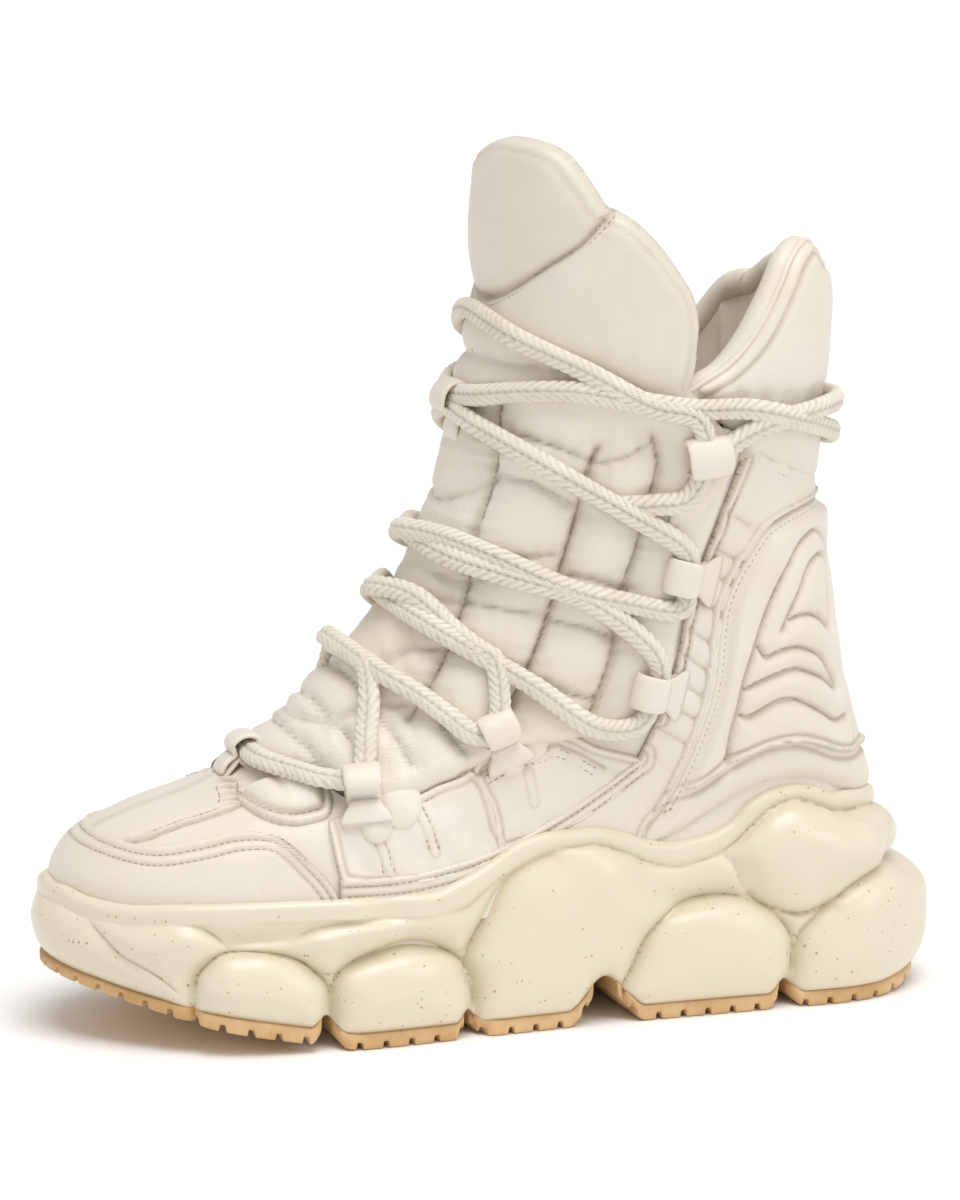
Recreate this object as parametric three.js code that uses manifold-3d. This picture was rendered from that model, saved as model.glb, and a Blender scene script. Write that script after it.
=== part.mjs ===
// Padded lace-up ankle boot for the left foot, in millimetres, +Z up, toe towards -Y.
// Along the boot, "u" is the distance forward of the heel; +X is the outer side of the foot.

import * as THREE from "three";
import Module from "manifold-3d";
import { mergeVertices } from "three/addons/utils/BufferGeometryUtils.js";

const wasm = await Module();
wasm.setup();

// Driving dimensions
const soleLength = 305; // heel to toe, over the foam bubbles
const rimHeight = 71; // floor to the foam rim at the heel
const bootHeight = 283; // floor to the peak of the tongue
const upperWidth = 94; // across the upper at the ball
const foamEdge = 5; // how far the foam stands out past the upper at the ball
const soleWidth = upperWidth + 2 * foamEdge; // across the ball, without the bubbles
const bubbleDepth = 7; // how far the bubbles stand out of the sole's outline
const bubbleTuck = 12; // how far the bubbles curl in underneath
const foamFloor = 34; // floor to the bed of the foam, at its mean
const upperWall = 3.5; // leather, padding and lining together
const tongueWall = 7; // padding inside the front line of the boot
const collarWall = 8; // padding inside the rear line of the boot
const collarPuff = 3.5; // padding outside it
const pillowDepth = 3; // how far the tongue's pillows stand out
const lobePuff = 4; // the tongue's top lobe and wings
const overlay = 1.4; // one layer of leather on the upper
const heelPuff = 3.2; // padded heel panel
const insoleThickness = 4;
const padThickness = 5.2; // rubber pads under the foam
const lugGroove = 3; // width of a groove between lugs
const lugDepth = 2.4;
const laceWidth = 7.2;
const laceThickness = 4.6;
const loopWidth = 12;
const loopLeather = 2.1;
const clearance = 0.3;
const sliver = 0.05; // edges shorter than this are merged

const front = soleLength / 2;
const sideSections = 28; // columns round the upper

const smooth = (a, b, x) => {
  const t = Math.min(Math.max((x - a) / (b - a), 0), 1);
  return t * t * (3 - 2 * t);
};

const lerp = (a, b, t) => a + (b - a) * t;

// Reads one column of a table at a place between its rows, without overshoot
function column(rows, key, name, at) {
  const last = rows.length - 1;
  if (at <= rows[0][key]) return rows[0][name];
  if (at >= rows[last][key]) return rows[last][name];
  let i = 0;
  while (rows[i + 1][key] < at) i += 1;
  const slope = (k) => {
    if (k < 0 || k >= last) return 0;
    return (rows[k + 1][name] - rows[k][name]) / (rows[k + 1][key] - rows[k][key]);
  };
  const bend = (k) => {
    if (k === 0) return slope(0);
    if (k === last) return slope(last - 1);
    const [before, after] = [slope(k - 1), slope(k)];
    return before * after <= 0 ? 0 : (2 * before * after) / (before + after);
  };
  const span = rows[i + 1][key] - rows[i][key];
  const t = (at - rows[i][key]) / span;
  const ease = t * t * (3 - 2 * t);
  const leave = t * (1 - t) * (1 - t) * span * bend(i);
  const arrive = t * t * (t - 1) * span * bend(i + 1);
  return lerp(rows[i][name], rows[i + 1][name], ease) + leave + arrive;
}

// Level sections of the upper: z is a share of the boot's height, back and front of its length, half
// of the upper's width; wide is where the section is widest, nose and tail its roundness at each end
const sections = [
  { z: 0.106, back: 0.056, front: 0.954, half: 0.5, wide: 0.7, nose: 3, tail: 4.6 },
  { z: 0.17, back: 0.059, front: 0.957, half: 0.5, wide: 0.69, nose: 3, tail: 4.4 },
  { z: 0.205, back: 0.067, front: 0.942, half: 0.489, wide: 0.66, nose: 2.9, tail: 4 },
  { z: 0.233, back: 0.0725, front: 0.898, half: 0.479, wide: 0.62, nose: 2.7, tail: 3.6 },
  { z: 0.269, back: 0.0825, front: 0.806, half: 0.468, wide: 0.56, nose: 2.5, tail: 3.2 },
  { z: 0.304, back: 0.0915, front: 0.747, half: 0.457, wide: 0.49, nose: 2.3, tail: 2.8 },
  { z: 0.346, back: 0.1015, front: 0.703, half: 0.447, wide: 0.45, nose: 2.2, tail: 2.7 },
  { z: 0.389, back: 0.111, front: 0.659, half: 0.447, wide: 0.44, nose: 2.1, tail: 2.6 },
  { z: 0.459, back: 0.121, front: 0.597, half: 0.447, wide: 0.45, nose: 2.1, tail: 2.6 },
  { z: 0.53, back: 0.132, front: 0.561, half: 0.457, wide: 0.46, nose: 2.1, tail: 2.5 },
  { z: 0.618, back: 0.144, front: 0.533, half: 0.479, wide: 0.47, nose: 2.1, tail: 2.5 },
  { z: 0.707, back: 0.138, front: 0.51, half: 0.5, wide: 0.48, nose: 2.1, tail: 2.5 },
  { z: 0.813, back: 0.132, front: 0.491, half: 0.511, wide: 0.48, nose: 2.1, tail: 2.5 },
  { z: 0.926, back: 0.15, front: 0.484, half: 0.5, wide: 0.48, nose: 2.1, tail: 2.5 },
  { z: 1.032, back: 0.177, front: 0.477, half: 0.468, wide: 0.48, nose: 2.1, tail: 2.5 },
];

// Heights of the rows of faces, from the foam's rim up
const upperRows = [
  0.184, 0.208, 0.23, 0.252, 0.274, 0.296, 0.322, 0.36, 0.42, 0.49, 0.57, 0.64, 0.71, 0.79, 0.87,
  0.94, 0.985, 1.03,
];

// Waist of the last: share of the half width that is left behind the ball, down by the sole
const waist = [
  { u: 0, share: 0.84 },
  { u: 0.3, share: 0.84 },
  { u: 0.45, share: 0.88 },
  { u: 0.58, share: 0.96 },
  { u: 0.68, share: 1 },
];
const waistAt = (u, z) =>
  lerp(column(waist, "u", "share", u / soleLength), 1, smooth(0.2, 0.42, z / bootHeight));

// Curve of the last to the inner side, as a shift of its middle line
const middle = (u) =>
  upperWidth * (0.032 * smooth(0.3, 0.62, u / soleLength) - 0.096 * smooth(0.62, 1, u / soleLength));

// Heights along the sole: floor is the foam's bed, rim its upper edge, ground the rubber's underside
const soleHeights = [
  { u: 0, floor: 1.18, rim: 0.79, ground: 0.084 },
  { u: 0.065, floor: 1.18, rim: 0.82, ground: 0.017 },
  { u: 0.1, floor: 1.17, rim: 0.93, ground: 0 },
  { u: 0.15, floor: 1.16, rim: 1, ground: 0 },
  { u: 0.21, floor: 1.13, rim: 0.99, ground: 0 },
  { u: 0.255, floor: 1.08, rim: 0.86, ground: 0 },
  { u: 0.3, floor: 1.02, rim: 0.78, ground: 0 },
  { u: 0.355, floor: 0.95, rim: 0.8, ground: 0 },
  { u: 0.41, floor: 0.88, rim: 0.87, ground: 0 },
  { u: 0.48, floor: 0.81, rim: 0.9, ground: 0 },
  { u: 0.55, floor: 0.75, rim: 0.82, ground: 0 },
  { u: 0.62, floor: 0.71, rim: 0.71, ground: 0 },
  { u: 0.68, floor: 0.7, rim: 0.675, ground: 0 },
  { u: 0.73, floor: 0.71, rim: 0.67, ground: 0.037 },
  { u: 0.8, floor: 0.75, rim: 0.67, ground: 0.093 },
  { u: 0.87, floor: 0.83, rim: 0.67, ground: 0.162 },
  { u: 0.93, floor: 0.93, rim: 0.66, ground: 0.232 },
  { u: 1, floor: 1.05, rim: 0.69, ground: 0.324 },
];
const bedAt = (u) => foamFloor * column(soleHeights, "u", "floor", u / soleLength);
const rimAt = (u) => rimHeight * column(soleHeights, "u", "rim", u / soleLength);
const groundAt = (u) => rimHeight * column(soleHeights, "u", "ground", u / soleLength);
const foamUnder = (u) => groundAt(u) + padThickness;

// Point of the upper's surface: turn is 0 at the heel and 1 at the toe, side +1 outer, -1 inner
function sectionAt(z) {
  const read = (name) => column(sections, "z", name, z / bootHeight);
  const back = soleLength * read("back");
  const fore = soleLength * read("front");
  return {
    back,
    fore,
    half: upperWidth * read("half"),
    widest: lerp(back, fore, read("wide")),
    nose: read("nose"),
    tail: read("tail"),
  };
}

const sideRoundness = 2.2;

function upperPoint(turn, side, z) {
  const s = sectionAt(z);
  const angle = Math.PI * turn;
  const along = Math.cos(angle);
  const power = along > 0 ? s.tail : s.nose;
  const reach = along > 0 ? s.widest - s.back : s.fore - s.widest;
  const u = s.widest - Math.sign(along) * Math.abs(along) ** (2 / power) * reach;
  const across = s.half * waistAt(u, z) * Math.abs(Math.sin(angle)) ** (2 / sideRoundness);
  return new THREE.Vector3(middle(u) + side * across, front - u, z);
}

function turnAt(u, z) {
  const s = sectionAt(z);
  const reach = u < s.widest ? s.widest - s.back : s.fore - s.widest;
  const power = u < s.widest ? s.tail : s.nose;
  const share = Math.min(Math.abs(u - s.widest) / reach, 1) ** (power / 2);
  return Math.acos(Math.sign(s.widest - u) * share) / Math.PI;
}

function upperNormal(turn, side, z) {
  const step = 0.012;
  const rise = 2;
  const ahead = signedPoint(turn * side + step * side, z);
  const behind = signedPoint(turn * side - step * side, z);
  const round = ahead.sub(behind).multiplyScalar(side);
  const up = upperPoint(turn, side, z + rise).sub(upperPoint(turn, side, z - rise));
  return new THREE.Vector3().crossVectors(up, round).normalize();
}

// The same surface with one running turn: -1..1, negative on the inner side, wrapping at the toe
function signedPoint(turn, z) {
  const wrapped = ((((turn + 1) % 2) + 2) % 2) - 1;
  return upperPoint(Math.abs(wrapped), wrapped < 0 ? -1 : 1, z);
}

function offsetPoint(turn, side, z, offset) {
  const p = upperPoint(turn, side, z);
  return p.addScaledVector(upperNormal(turn, side, z), offset);
}

// Closed mesh through rings of equal length. A hollow one goes up the outside and down the inside, and
// splits its faces the same way on both, so that layers stay parallel
function ringSolid(rings, hollow = false) {
  const n = rings[0].length;
  const positions = rings.flat().flatMap((p) => [p.x, p.y, p.z]);
  const index = [];
  const quad = (a, b, c, d) => index.push(a, b, c, a, c, d);
  const last = hollow ? rings.length : rings.length - 1;
  for (let r = 0; r < last; r += 1) {
    const [low, high] = [r * n, ((r + 1) % rings.length) * n];
    for (let i = 0; i < n; i += 1) {
      const j = (i + 1) % n;
      const inside = hollow && r >= rings.length / 2;
      if (inside) quad(low + j, high + j, high + i, low + i);
      else quad(low + i, low + j, high + j, high + i);
    }
  }
  if (!hollow) {
    const top = (rings.length - 1) * n;
    for (let i = 0; i < n / 2; i += 1) {
      const [a, b, c, d] = [i, (n - i) % n, n - i - 1, i + 1];
      if (i > 0) index.push(b, c, a);
      if (d !== c) index.push(c, d, a);
      if (i > 0) index.push(top + a, top + c, top + b);
      if (d !== c) index.push(top + a, top + d, top + c);
    }
  }
  const geometry = new THREE.BufferGeometry();
  geometry.setAttribute("position", new THREE.Float32BufferAttribute(positions, 3));
  geometry.setIndex(index);
  return solidOf(geometry);
}

function signedVolume(positions, index) {
  const corner = (k) => new THREE.Vector3().fromArray(positions, 3 * index[k]);
  let sum = 0;
  for (let k = 0; k < index.length; k += 3) {
    sum += corner(k).dot(corner(k + 1).cross(corner(k + 2)));
  }
  return sum / 6;
}

function solidOf(source) {
  const bare = source.clone();
  bare.deleteAttribute("normal");
  bare.deleteAttribute("uv");
  const merged = mergeVertices(bare, 1e-4);
  const vertProperties = new Float32Array(merged.attributes.position.array);
  const triVerts = new Uint32Array(merged.index.array);
  if (signedVolume(vertProperties, triVerts) < 0) {
    for (let k = 0; k < triVerts.length; k += 3) {
      [triVerts[k], triVerts[k + 1]] = [triVerts[k + 1], triVerts[k]];
    }
  }
  return new wasm.Manifold(new wasm.Mesh({ numProp: 3, vertProperties, triVerts }));
}

function geometryOf(solid) {
  const mesh = solid.simplify(sliver).getMesh();
  const positions = [];
  for (let v = 0; v < mesh.vertProperties.length; v += mesh.numProp) {
    positions.push(...mesh.vertProperties.slice(v, v + 3));
  }
  const geometry = new THREE.BufferGeometry();
  geometry.setAttribute("position", new THREE.Float32BufferAttribute(positions, 3));
  geometry.setIndex(Array.from(mesh.triVerts));
  const merged = mergeVertices(geometry, 1e-4);
  merged.computeVertexNormals();
  return merged;
}

// Ring round the upper at one level; z and offset may change with the place
function upperRing(zOf, offsetOf) {
  const ring = [];
  for (let i = 0; i < sideSections; i += 1) {
    const around = (2 * i) / sideSections;
    const side = around <= 1 ? 1 : -1;
    const turn = around <= 1 ? around : 2 - around;
    const z = zOf(turn, side);
    ring.push(offsetPoint(turn, side, z, offsetOf(turn, side, z)));
  }
  return ring;
}

// The upper's lowest level, which follows the bed of the foam
function bedUnder(turn, side) {
  const guess = front - upperPoint(turn, side, foamFloor).y;
  return bedAt(guess) + clearance;
}

const always = (value) => () => value;

function levels() {
  return [bedUnder, ...upperRows.map((share) => always(share * bootHeight))];
}

// Hollow layer of the upper's form between two offsets from its surface
function layer(inner, outer) {
  const outerRings = levels().map((z) => upperRing(z, outer));
  const innerRings = levels().map((z) => upperRing(z, inner));
  return ringSolid(outerRings.concat(innerRings.reverse()), true);
}

// Filled form of the upper, from one level to another
function core(offset, lowest, highest) {
  const rows = highest === null ? levels() : [lowest, highest];
  if (highest === null) rows[0] = lowest;
  return ringSolid(rows.map((z) => upperRing(z, always(offset))));
}

// Side outline of a panel, as shares of the boot's length and height, cut straight across the boot
function across(outline, side = 0) {
  const corners = outline.map(([u, z]) => new THREE.Vector2(u * soleLength, z * bootHeight));
  const reach = upperWidth;
  const depth = side === 0 ? 2 * reach : reach;
  const prism = new THREE.ExtrudeGeometry(new THREE.Shape(corners), { depth, bevelEnabled: false });
  const start = side < 0 ? 0 : reach;
  const axes = new THREE.Matrix4().makeBasis(
    new THREE.Vector3(0, -1, 0),
    new THREE.Vector3(0, 0, 1),
    new THREE.Vector3(-1, 0, 0),
  );
  prism.applyMatrix4(axes);
  prism.translate(start, front, 0);
  return solidOf(prism);
}

// Moves an outline inwards by the clearance, in the same shares
function inset(outline, gap = clearance) {
  const points = outline.map(([u, z]) => [u * soleLength, z * bootHeight]);
  const area = points.reduce((sum, [u, z], i) => {
    const [nextU, nextZ] = points[(i + 1) % points.length];
    return sum + u * nextZ - nextU * z;
  }, 0);
  const turn = Math.sign(area);
  const n = points.length;
  return points.map(([u, z], i) => {
    const [pu, pz] = points[(i + n - 1) % n];
    const [nu, nz] = points[(i + 1) % n];
    const before = new THREE.Vector2(u - pu, z - pz).normalize();
    const after = new THREE.Vector2(nu - u, nz - z).normalize();
    const sum = new THREE.Vector2(-before.y - after.y, before.x + after.x);
    const shift = (turn * gap * 2) / Math.max(sum.lengthSq(), 1);
    return [(u + sum.x * shift) / soleLength, (z + sum.y * shift) / bootHeight];
  });
}

// Lines that the panels share, from the outer side, as shares of length and height
const throatEdge = [
  [0.77, 0.312],
  [0.764, 0.3],
  [0.73, 0.298],
  [0.7, 0.297],
  [0.672, 0.282],
  [0.63, 0.284],
  [0.552, 0.304],
  [0.479, 0.323],
  [0.413, 0.329],
  [0.377, 0.339],
  [0.341, 0.367],
  [0.331, 0.41],
  [0.323, 0.459],
  [0.308, 0.512],
  [0.289, 0.569],
  [0.264, 0.65],
];
const collarLine = [
  [0.216, 0.627],
  [0.161, 0.605],
  [-0.1, 0.603],
];
const bandLine = [
  [0.7, 0.19],
  [0.616, 0.192],
  [0.525, 0.212],
  [0.459, 0.242],
  [0.413, 0.27],
  [0.367, 0.302],
];
const strapFront = [
  [0.346, 0.345],
  [0.328, 0.41],
  [0.319, 0.459],
  [0.304, 0.512],
  [0.285, 0.569],
  [0.26, 0.64],
];
const rearSeam = [
  [0.375, 0.19],
  [0.369, 0.221],
  [0.338, 0.265],
  [0.302, 0.364],
  [0.288, 0.477],
  [0.252, 0.548],
  [0.22, 0.576],
  [0.161, 0.59],
];
const collarFront = [
  [0.264, 0.65],
  [0.285, 0.68],
  [0.318, 0.722],
];
const collarTop = [
  [0.26, 0.765],
  [0.228, 0.818],
  [0.2, 0.865],
  [0.165, 0.886],
  [0.13, 0.88],
  [-0.1, 0.85],
];
const wingEdge = [
  [0.318, 0.724],
  [0.308, 0.816],
  [0.305, 0.848],
  [0.311, 0.883],
  [0.328, 0.903],
  [0.364, 0.917],
  [0.403, 0.917],
];
const lobeTop = [
  [0.42, 0.952],
  [0.438, 0.981],
  [0.462, 1],
  [0.6, 1],
];

const upperOutline = [
  [-0.1, -0.1],
  [1.1, -0.1],
  [1.1, 0.4],
  [0.78, 0.4],
  ...throatEdge,
  ...collarLine,
];
const tongueOutline = [
  [0.78, 0.4],
  ...throatEdge,
  ...collarFront.slice(1),
  ...wingEdge.slice(1),
  ...lobeTop,
];
const collarOutline = [...collarLine.toReversed(), ...collarFront, ...collarTop];
// What the collar lacks on the inner side, where it falls lower in front of the heel
const collarDip = [
  [0.149, 0.883],
  [0.164, 0.852],
  [0.18, 0.82],
  [0.197, 0.788],
  [0.216, 0.758],
  [0.246, 0.736],
  [0.33, 0.722],
  [0.36, 1.1],
  [0.1, 1.1],
];
const toeOutline = [
  [1.1, 0],
  [1.1, 0.24],
  [0.93, 0.227],
  [0.882, 0.22],
  [0.836, 0.228],
  [0.795, 0.238],
  [0.757, 0.238],
  [0.728, 0.212],
  [0.7, 0.168],
  [0.7, 0],
];
const padOutline = [
  [0.792, 0.25],
  [0.786, 0.276],
  [0.766, 0.293],
  [0.73, 0.294],
  [0.702, 0.292],
  [0.7, 0.262],
  [0.72, 0.243],
  [0.757, 0.241],
];
const quarterFrontOutline = [
  [0.697, 0.192],
  [0.695, 0.29],
  [0.672, 0.278],
  [0.63, 0.281],
  [0.552, 0.302],
  [0.536, 0.25],
  [0.53, 0.212],
  [0.616, 0.194],
];
const quarterRearOutline = [
  [0.527, 0.214],
  [0.531, 0.25],
  [0.546, 0.303],
  [0.479, 0.321],
  [0.413, 0.327],
  [0.38, 0.336],
  [0.355, 0.345],
  [0.369, 0.304],
  [0.413, 0.272],
  [0.459, 0.244],
];
const strapOutline = [
  [0.697, 0],
  ...bandLine,
  ...strapFront,
  ...collarLine.slice(0, 2),
  ...rearSeam.toReversed(),
  [0.375, 0],
];
const heelOutline = [[0.375, 0], ...rearSeam, [-0.1, 0.59], [-0.1, 0]];

// Pillows of the tongue: seams between rows as shares of the height, seams between columns as shares of
// the way from toe to heel; one column lies over the middle of the front
const pillowRows = [0.27, 0.35, 0.4, 0.45, 0.49, 0.56, 0.62, 0.69, 0.78];
const pillowColumns = [0.21, 0.37, 0.49];

function pillow(turn, side, z) {
  const height = z / bootHeight;
  if (height > pillowRows.at(-1)) return lobePuff * smooth(0.78, 0.83, height);
  const fromFront = 1 - turn;
  const between = (marks, at) => {
    const i = marks.findIndex((mark) => mark > at);
    if (i < 0) return 1;
    return i === 0 ? 0.5 + (0.5 * at) / marks[0] : (at - marks[i - 1]) / (marks[i] - marks[i - 1]);
  };
  const swell = (t) => Math.sin(Math.PI * Math.min(Math.max(t, 0), 1)) ** 0.6;
  const rows = swell(between(pillowRows, height));
  const columns = swell(between(pillowColumns, fromFront));
  return pillowDepth * (0.25 + 0.75 * Math.sqrt(rows * columns));
}

// Plan of the sole at stations along its length, widths as shares of the ball's; ends are rounded
const solePlan = [
  { u: 0, outer: 0.375, inner: 0.36 },
  { u: 0.16, outer: 0.405, inner: 0.4 },
  { u: 0.3, outer: 0.42, inner: 0.425 },
  { u: 0.43, outer: 0.44, inner: 0.43 },
  { u: 0.57, outer: 0.485, inner: 0.465 },
  { u: 0.7, outer: 0.52, inner: 0.485 },
  { u: 0.82, outer: 0.505, inner: 0.49 },
  { u: 0.9, outer: 0.442, inner: 0.45 },
  { u: 1, outer: 0.33, inner: 0.385 },
];
const soleEnds = { heel: 0.138, toe: 0.214, roundness: 2.3 };
const stations = [
  0, 0.003, 0.012, 0.03, 0.06, 0.095, 0.135, 0.165, 0.186, 0.207, 0.24, 0.285, 0.33, 0.37, 0.395,
  0.417, 0.45, 0.495, 0.535, 0.56, 0.58, 0.615, 0.655, 0.69, 0.715, 0.732, 0.755, 0.8, 0.84, 0.865,
  0.895, 0.925, 0.955, 0.98, 0.994, 1,
];

// The foam's outline lies inside the sole's length by the depth of the bubbles
function planPoint(t, side) {
  const reach = soleLength - 2 * bubbleDepth;
  const name = side > 0 ? "outer" : "inner";
  const end = (d, size) => 1 - Math.max(0, 1 - d / size) ** soleEnds.roundness;
  const round = (end(t, soleEnds.heel) * end(1 - t, soleEnds.toe)) ** (1 / soleEnds.roundness);
  const half = soleWidth * column(solePlan, "u", name, t);
  return new THREE.Vector2(bubbleDepth + reach * t, side * half * round);
}

const ringPlaces = stations
  .map((t) => ({ t, side: 1 }))
  .concat(stations.slice(1, -1).toReversed().map((t) => ({ t, side: -1 })));

// Plan points with their outward normals and the share of the way from heel to toe along the edge
const solePlaces = (() => {
  const points = ringPlaces.map(({ t, side }) => planPoint(t, side));
  const n = points.length;
  const toe = stations.length - 1;
  const walked = [0];
  for (let i = 1; i <= n; i += 1) {
    walked.push(walked[i - 1] + points[i % n].distanceTo(points[i - 1]));
  }
  return points.map((p, i) => {
    const tangent = points[(i + 1) % n].clone().sub(points[(i + n - 1) % n]).normalize();
    const way = i <= toe ? walked[i] / walked[toe] : (walked[n] - walked[i]) / (walked[n] - walked[toe]);
    return { u: p.x, x: p.y, nu: -tangent.y, nx: tangent.x, way, side: ringPlaces[i].side };
  });
})();

// Foam bubbles on each side: way from heel to toe, height as a share of the rim's, half length and
// half height as shares of the sole's length and the rim's height, and how far each stands out
const bubbles = [
  { way: 0.94, z: 0.48, long: 0.24, tall: 0.36, out: 0.95 },
  { way: 0.8, z: 0.5, long: 0.11, tall: 0.17, out: 0.55 },
  { way: 0.755, z: 0.29, long: 0.078, tall: 0.2, out: 0.85 },
  { way: 0.675, z: 0.46, long: 0.07, tall: 0.16, out: 0.6 },
  { way: 0.62, z: 0.28, long: 0.082, tall: 0.21, out: 0.85 },
  { way: 0.465, z: 0.46, long: 0.112, tall: 0.4, out: 0.85 },
  { way: 0.3, z: 0.31, long: 0.09, tall: 0.26, out: 0.85 },
  { way: 0.205, z: 0.74, long: 0.105, tall: 0.26, out: 0.8 },
  { way: 0.15, z: 0.33, long: 0.118, tall: 0.28, out: 1.1 },
  { way: 0, z: 0.74, long: 0.1, tall: 0.24, out: 0.5 },
  { way: 0, z: 0.36, long: 0.09, tall: 0.26, out: 1 },
];
const halfEdge = 1.125 * soleLength; // length of the sole's edge from heel to toe

function foamOffset(way, u, z) {
  const above = (z - foamUnder(u)) / bubbleTuck;
  const bed = bedAt(u);
  const valley = lerp(0.75, 0.25, smooth(bed - bubbleDepth, bed, z));
  const wall = -valley * bubbleDepth - 0.8 * bubbleTuck * Math.max(0, 1 - above) ** 2;
  const rim = 0.2 * bubbleDepth;
  const domes = bubbles.map((b) => {
    const dx = ((way - b.way) * halfEdge) / (b.long * soleLength);
    const dz = (z - b.z * rimHeight) / (b.tall * rimHeight);
    const dome = Math.sqrt(Math.max(0, 1 - dx * dx - dz * dz));
    return lerp(-bubbleTuck, b.out * bubbleDepth, dome);
  });
  return Math.max(wall, z > 0.85 * rimAt(u) ? rim : wall, ...domes);
}

const foamRows = [0, 0.08, 0.2, 0.34, 0.48, 0.62, 0.76, 0.89, 1];

function foamRing(share) {
  return solePlaces.map(({ u, x, nu, nx, way }) => {
    const z = lerp(foamUnder(u), rimAt(u), share);
    const offset = foamOffset(way, u, z);
    return new THREE.Vector3(x + nx * offset, front - u - nu * offset, z);
  });
}

// Places where the rubber pads part, with the depth and half width of the foam's groove above
const grooves = [
  { u: 0.203, deep: 5, half: 0.016 },
  { u: 0.408, deep: 10, half: 0.024 },
  { u: 0.562, deep: 4, half: 0.012 },
  { u: 0.717, deep: 4.5, half: 0.013 },
];

function grooveCutter({ u, deep, half }) {
  const low = -0.05;
  const top = (foamUnder(u * soleLength) + deep) / bootHeight;
  const shoulder = lerp(foamUnder(u * soleLength) / bootHeight, top, 0.6);
  return across([
    [u - half, low],
    [u + half, low],
    [u + 0.6 * half, shoulder],
    [u, top],
    [u - 0.6 * half, shoulder],
  ]);
}

function midsole() {
  const body = ringSolid(foamRows.map(foamRing));
  const bed = core(2 * clearance + overlay, (turn, side) => bedUnder(turn, side) - clearance, null);
  return grooves.reduce((foam, groove) => foam.subtract(grooveCutter(groove)), body.subtract(bed));
}

// Rubber pad between two grooves, following the foam above and the floor below
function outsolePad(from, to) {
  const gap = 0.004;
  const [start, end] = [from + gap, to - gap];
  const lowered = (drop) => foamRing(0).map((p) => new THREE.Vector3(p.x, p.y, p.z - drop));
  const slab = ringSolid([lowered(padThickness), lowered(clearance)]);
  const window = across([
    [start, -0.1],
    [end, -0.1],
    [end, 0.4],
    [start, 0.4],
  ]);
  let pad = slab.intersect(window);
  const length = (end - start) * soleLength;
  const lugs = Math.max(2, Math.round(length / 14));
  for (let k = 1; k < lugs; k += 1) {
    const u = start * soleLength + (length * k) / lugs;
    const cut = new THREE.BoxGeometry(2 * upperWidth, lugGroove, 2 * lugDepth);
    cut.translate(0, front - u, groundAt(u));
    pad = pad.subtract(solidOf(cut));
  }
  return pad;
}

function insole() {
  const offset = -upperWall - clearance;
  const low = (turn, side) => bedUnder(turn, side);
  return core(offset, low, (turn, side) => bedUnder(turn, side) + insoleThickness);
}

// Point on the boot at a side outline's place, lifted off the upper's surface; side 0 is the middle of
// the front, or of the heel where u is 0
function placeOn(side, u, z, lift) {
  const turn = side === 0 ? Math.sign(u) : turnAt(u * soleLength, z * bootHeight);
  return offsetPoint(turn, side || 1, z * bootHeight, lift);
}

// Outward normal and upward direction on the surface; side 0 is the middle of the front
function frameOn(side, u, z) {
  const height = z * bootHeight;
  if (side === 0) {
    const normal = upperNormal(1, 1, height);
    return { normal, up: new THREE.Vector3().crossVectors(normal, new THREE.Vector3(1, 0, 0)) };
  }
  const reach = 2;
  const [toe, heel] = [reach, -reach].map((d) => turnAt(u * soleLength + d, height));
  const normal = upperNormal(turnAt(u * soleLength, height), side, height);
  const along = offsetPoint(toe, side, height, 0).sub(offsetPoint(heel, side, height, 0));
  const up = new THREE.Vector3().crossVectors(along.normalize(), normal).multiplyScalar(side);
  return { normal, up: up.normalize() };
}

const laceLift = pillowDepth + 6 * clearance + laceThickness / 2;
const neckLift = lobePuff + 4 * clearance + laceThickness / 2;
const toeLift = pillowDepth + laceThickness / 2;
const highLift = laceLift + 1; // where the cord turns over the instep
const laceSides = 6;

// Flat-oval cord through points of [side, u, z, lift], with a step under three times its width
function cord(points) {
  const curve = (drop) => {
    const places = points.map(([side, u, z, lift = laceLift]) => placeOn(side, u, z, lift - drop));
    return new THREE.CatmullRomCurve3(places, false, "centripetal");
  };
  const [path, under] = [curve(0), curve(1)];
  const steps = Math.max(3, Math.round(path.getLength() / (2.7 * laceWidth)));
  const rings = [];
  for (let i = 0; i <= steps; i += 1) {
    const centre = path.getPoint(i / steps);
    const outward = centre.clone().sub(under.getPoint(i / steps)).normalize();
    const wide = new THREE.Vector3().crossVectors(path.getTangent(i / steps), outward).normalize();
    const proud = new THREE.Vector3().crossVectors(wide, path.getTangent(i / steps)).normalize();
    const ring = [];
    for (let k = 0; k < laceSides; k += 1) {
      const angle = (2 * Math.PI * k) / laceSides;
      const p = centre.clone().addScaledVector(wide, (Math.cos(angle) * laceWidth) / 2);
      ring.push(p.addScaledVector(proud, (Math.sin(angle) * laceThickness) / 2));
    }
    rings.push(ring);
  }
  return ringSolid(rings);
}

const joined = (solids) => solids.reduce((all, solid) => all.add(solid));

const mirrored = (points) => points.map(([side, ...rest]) => [-side, ...rest]);

// A bar from an outer loop over the front to an inner one
const bar = (outer, centre, inner) => cord([...outer, centre, ...mirrored(inner).toReversed()]);

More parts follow.
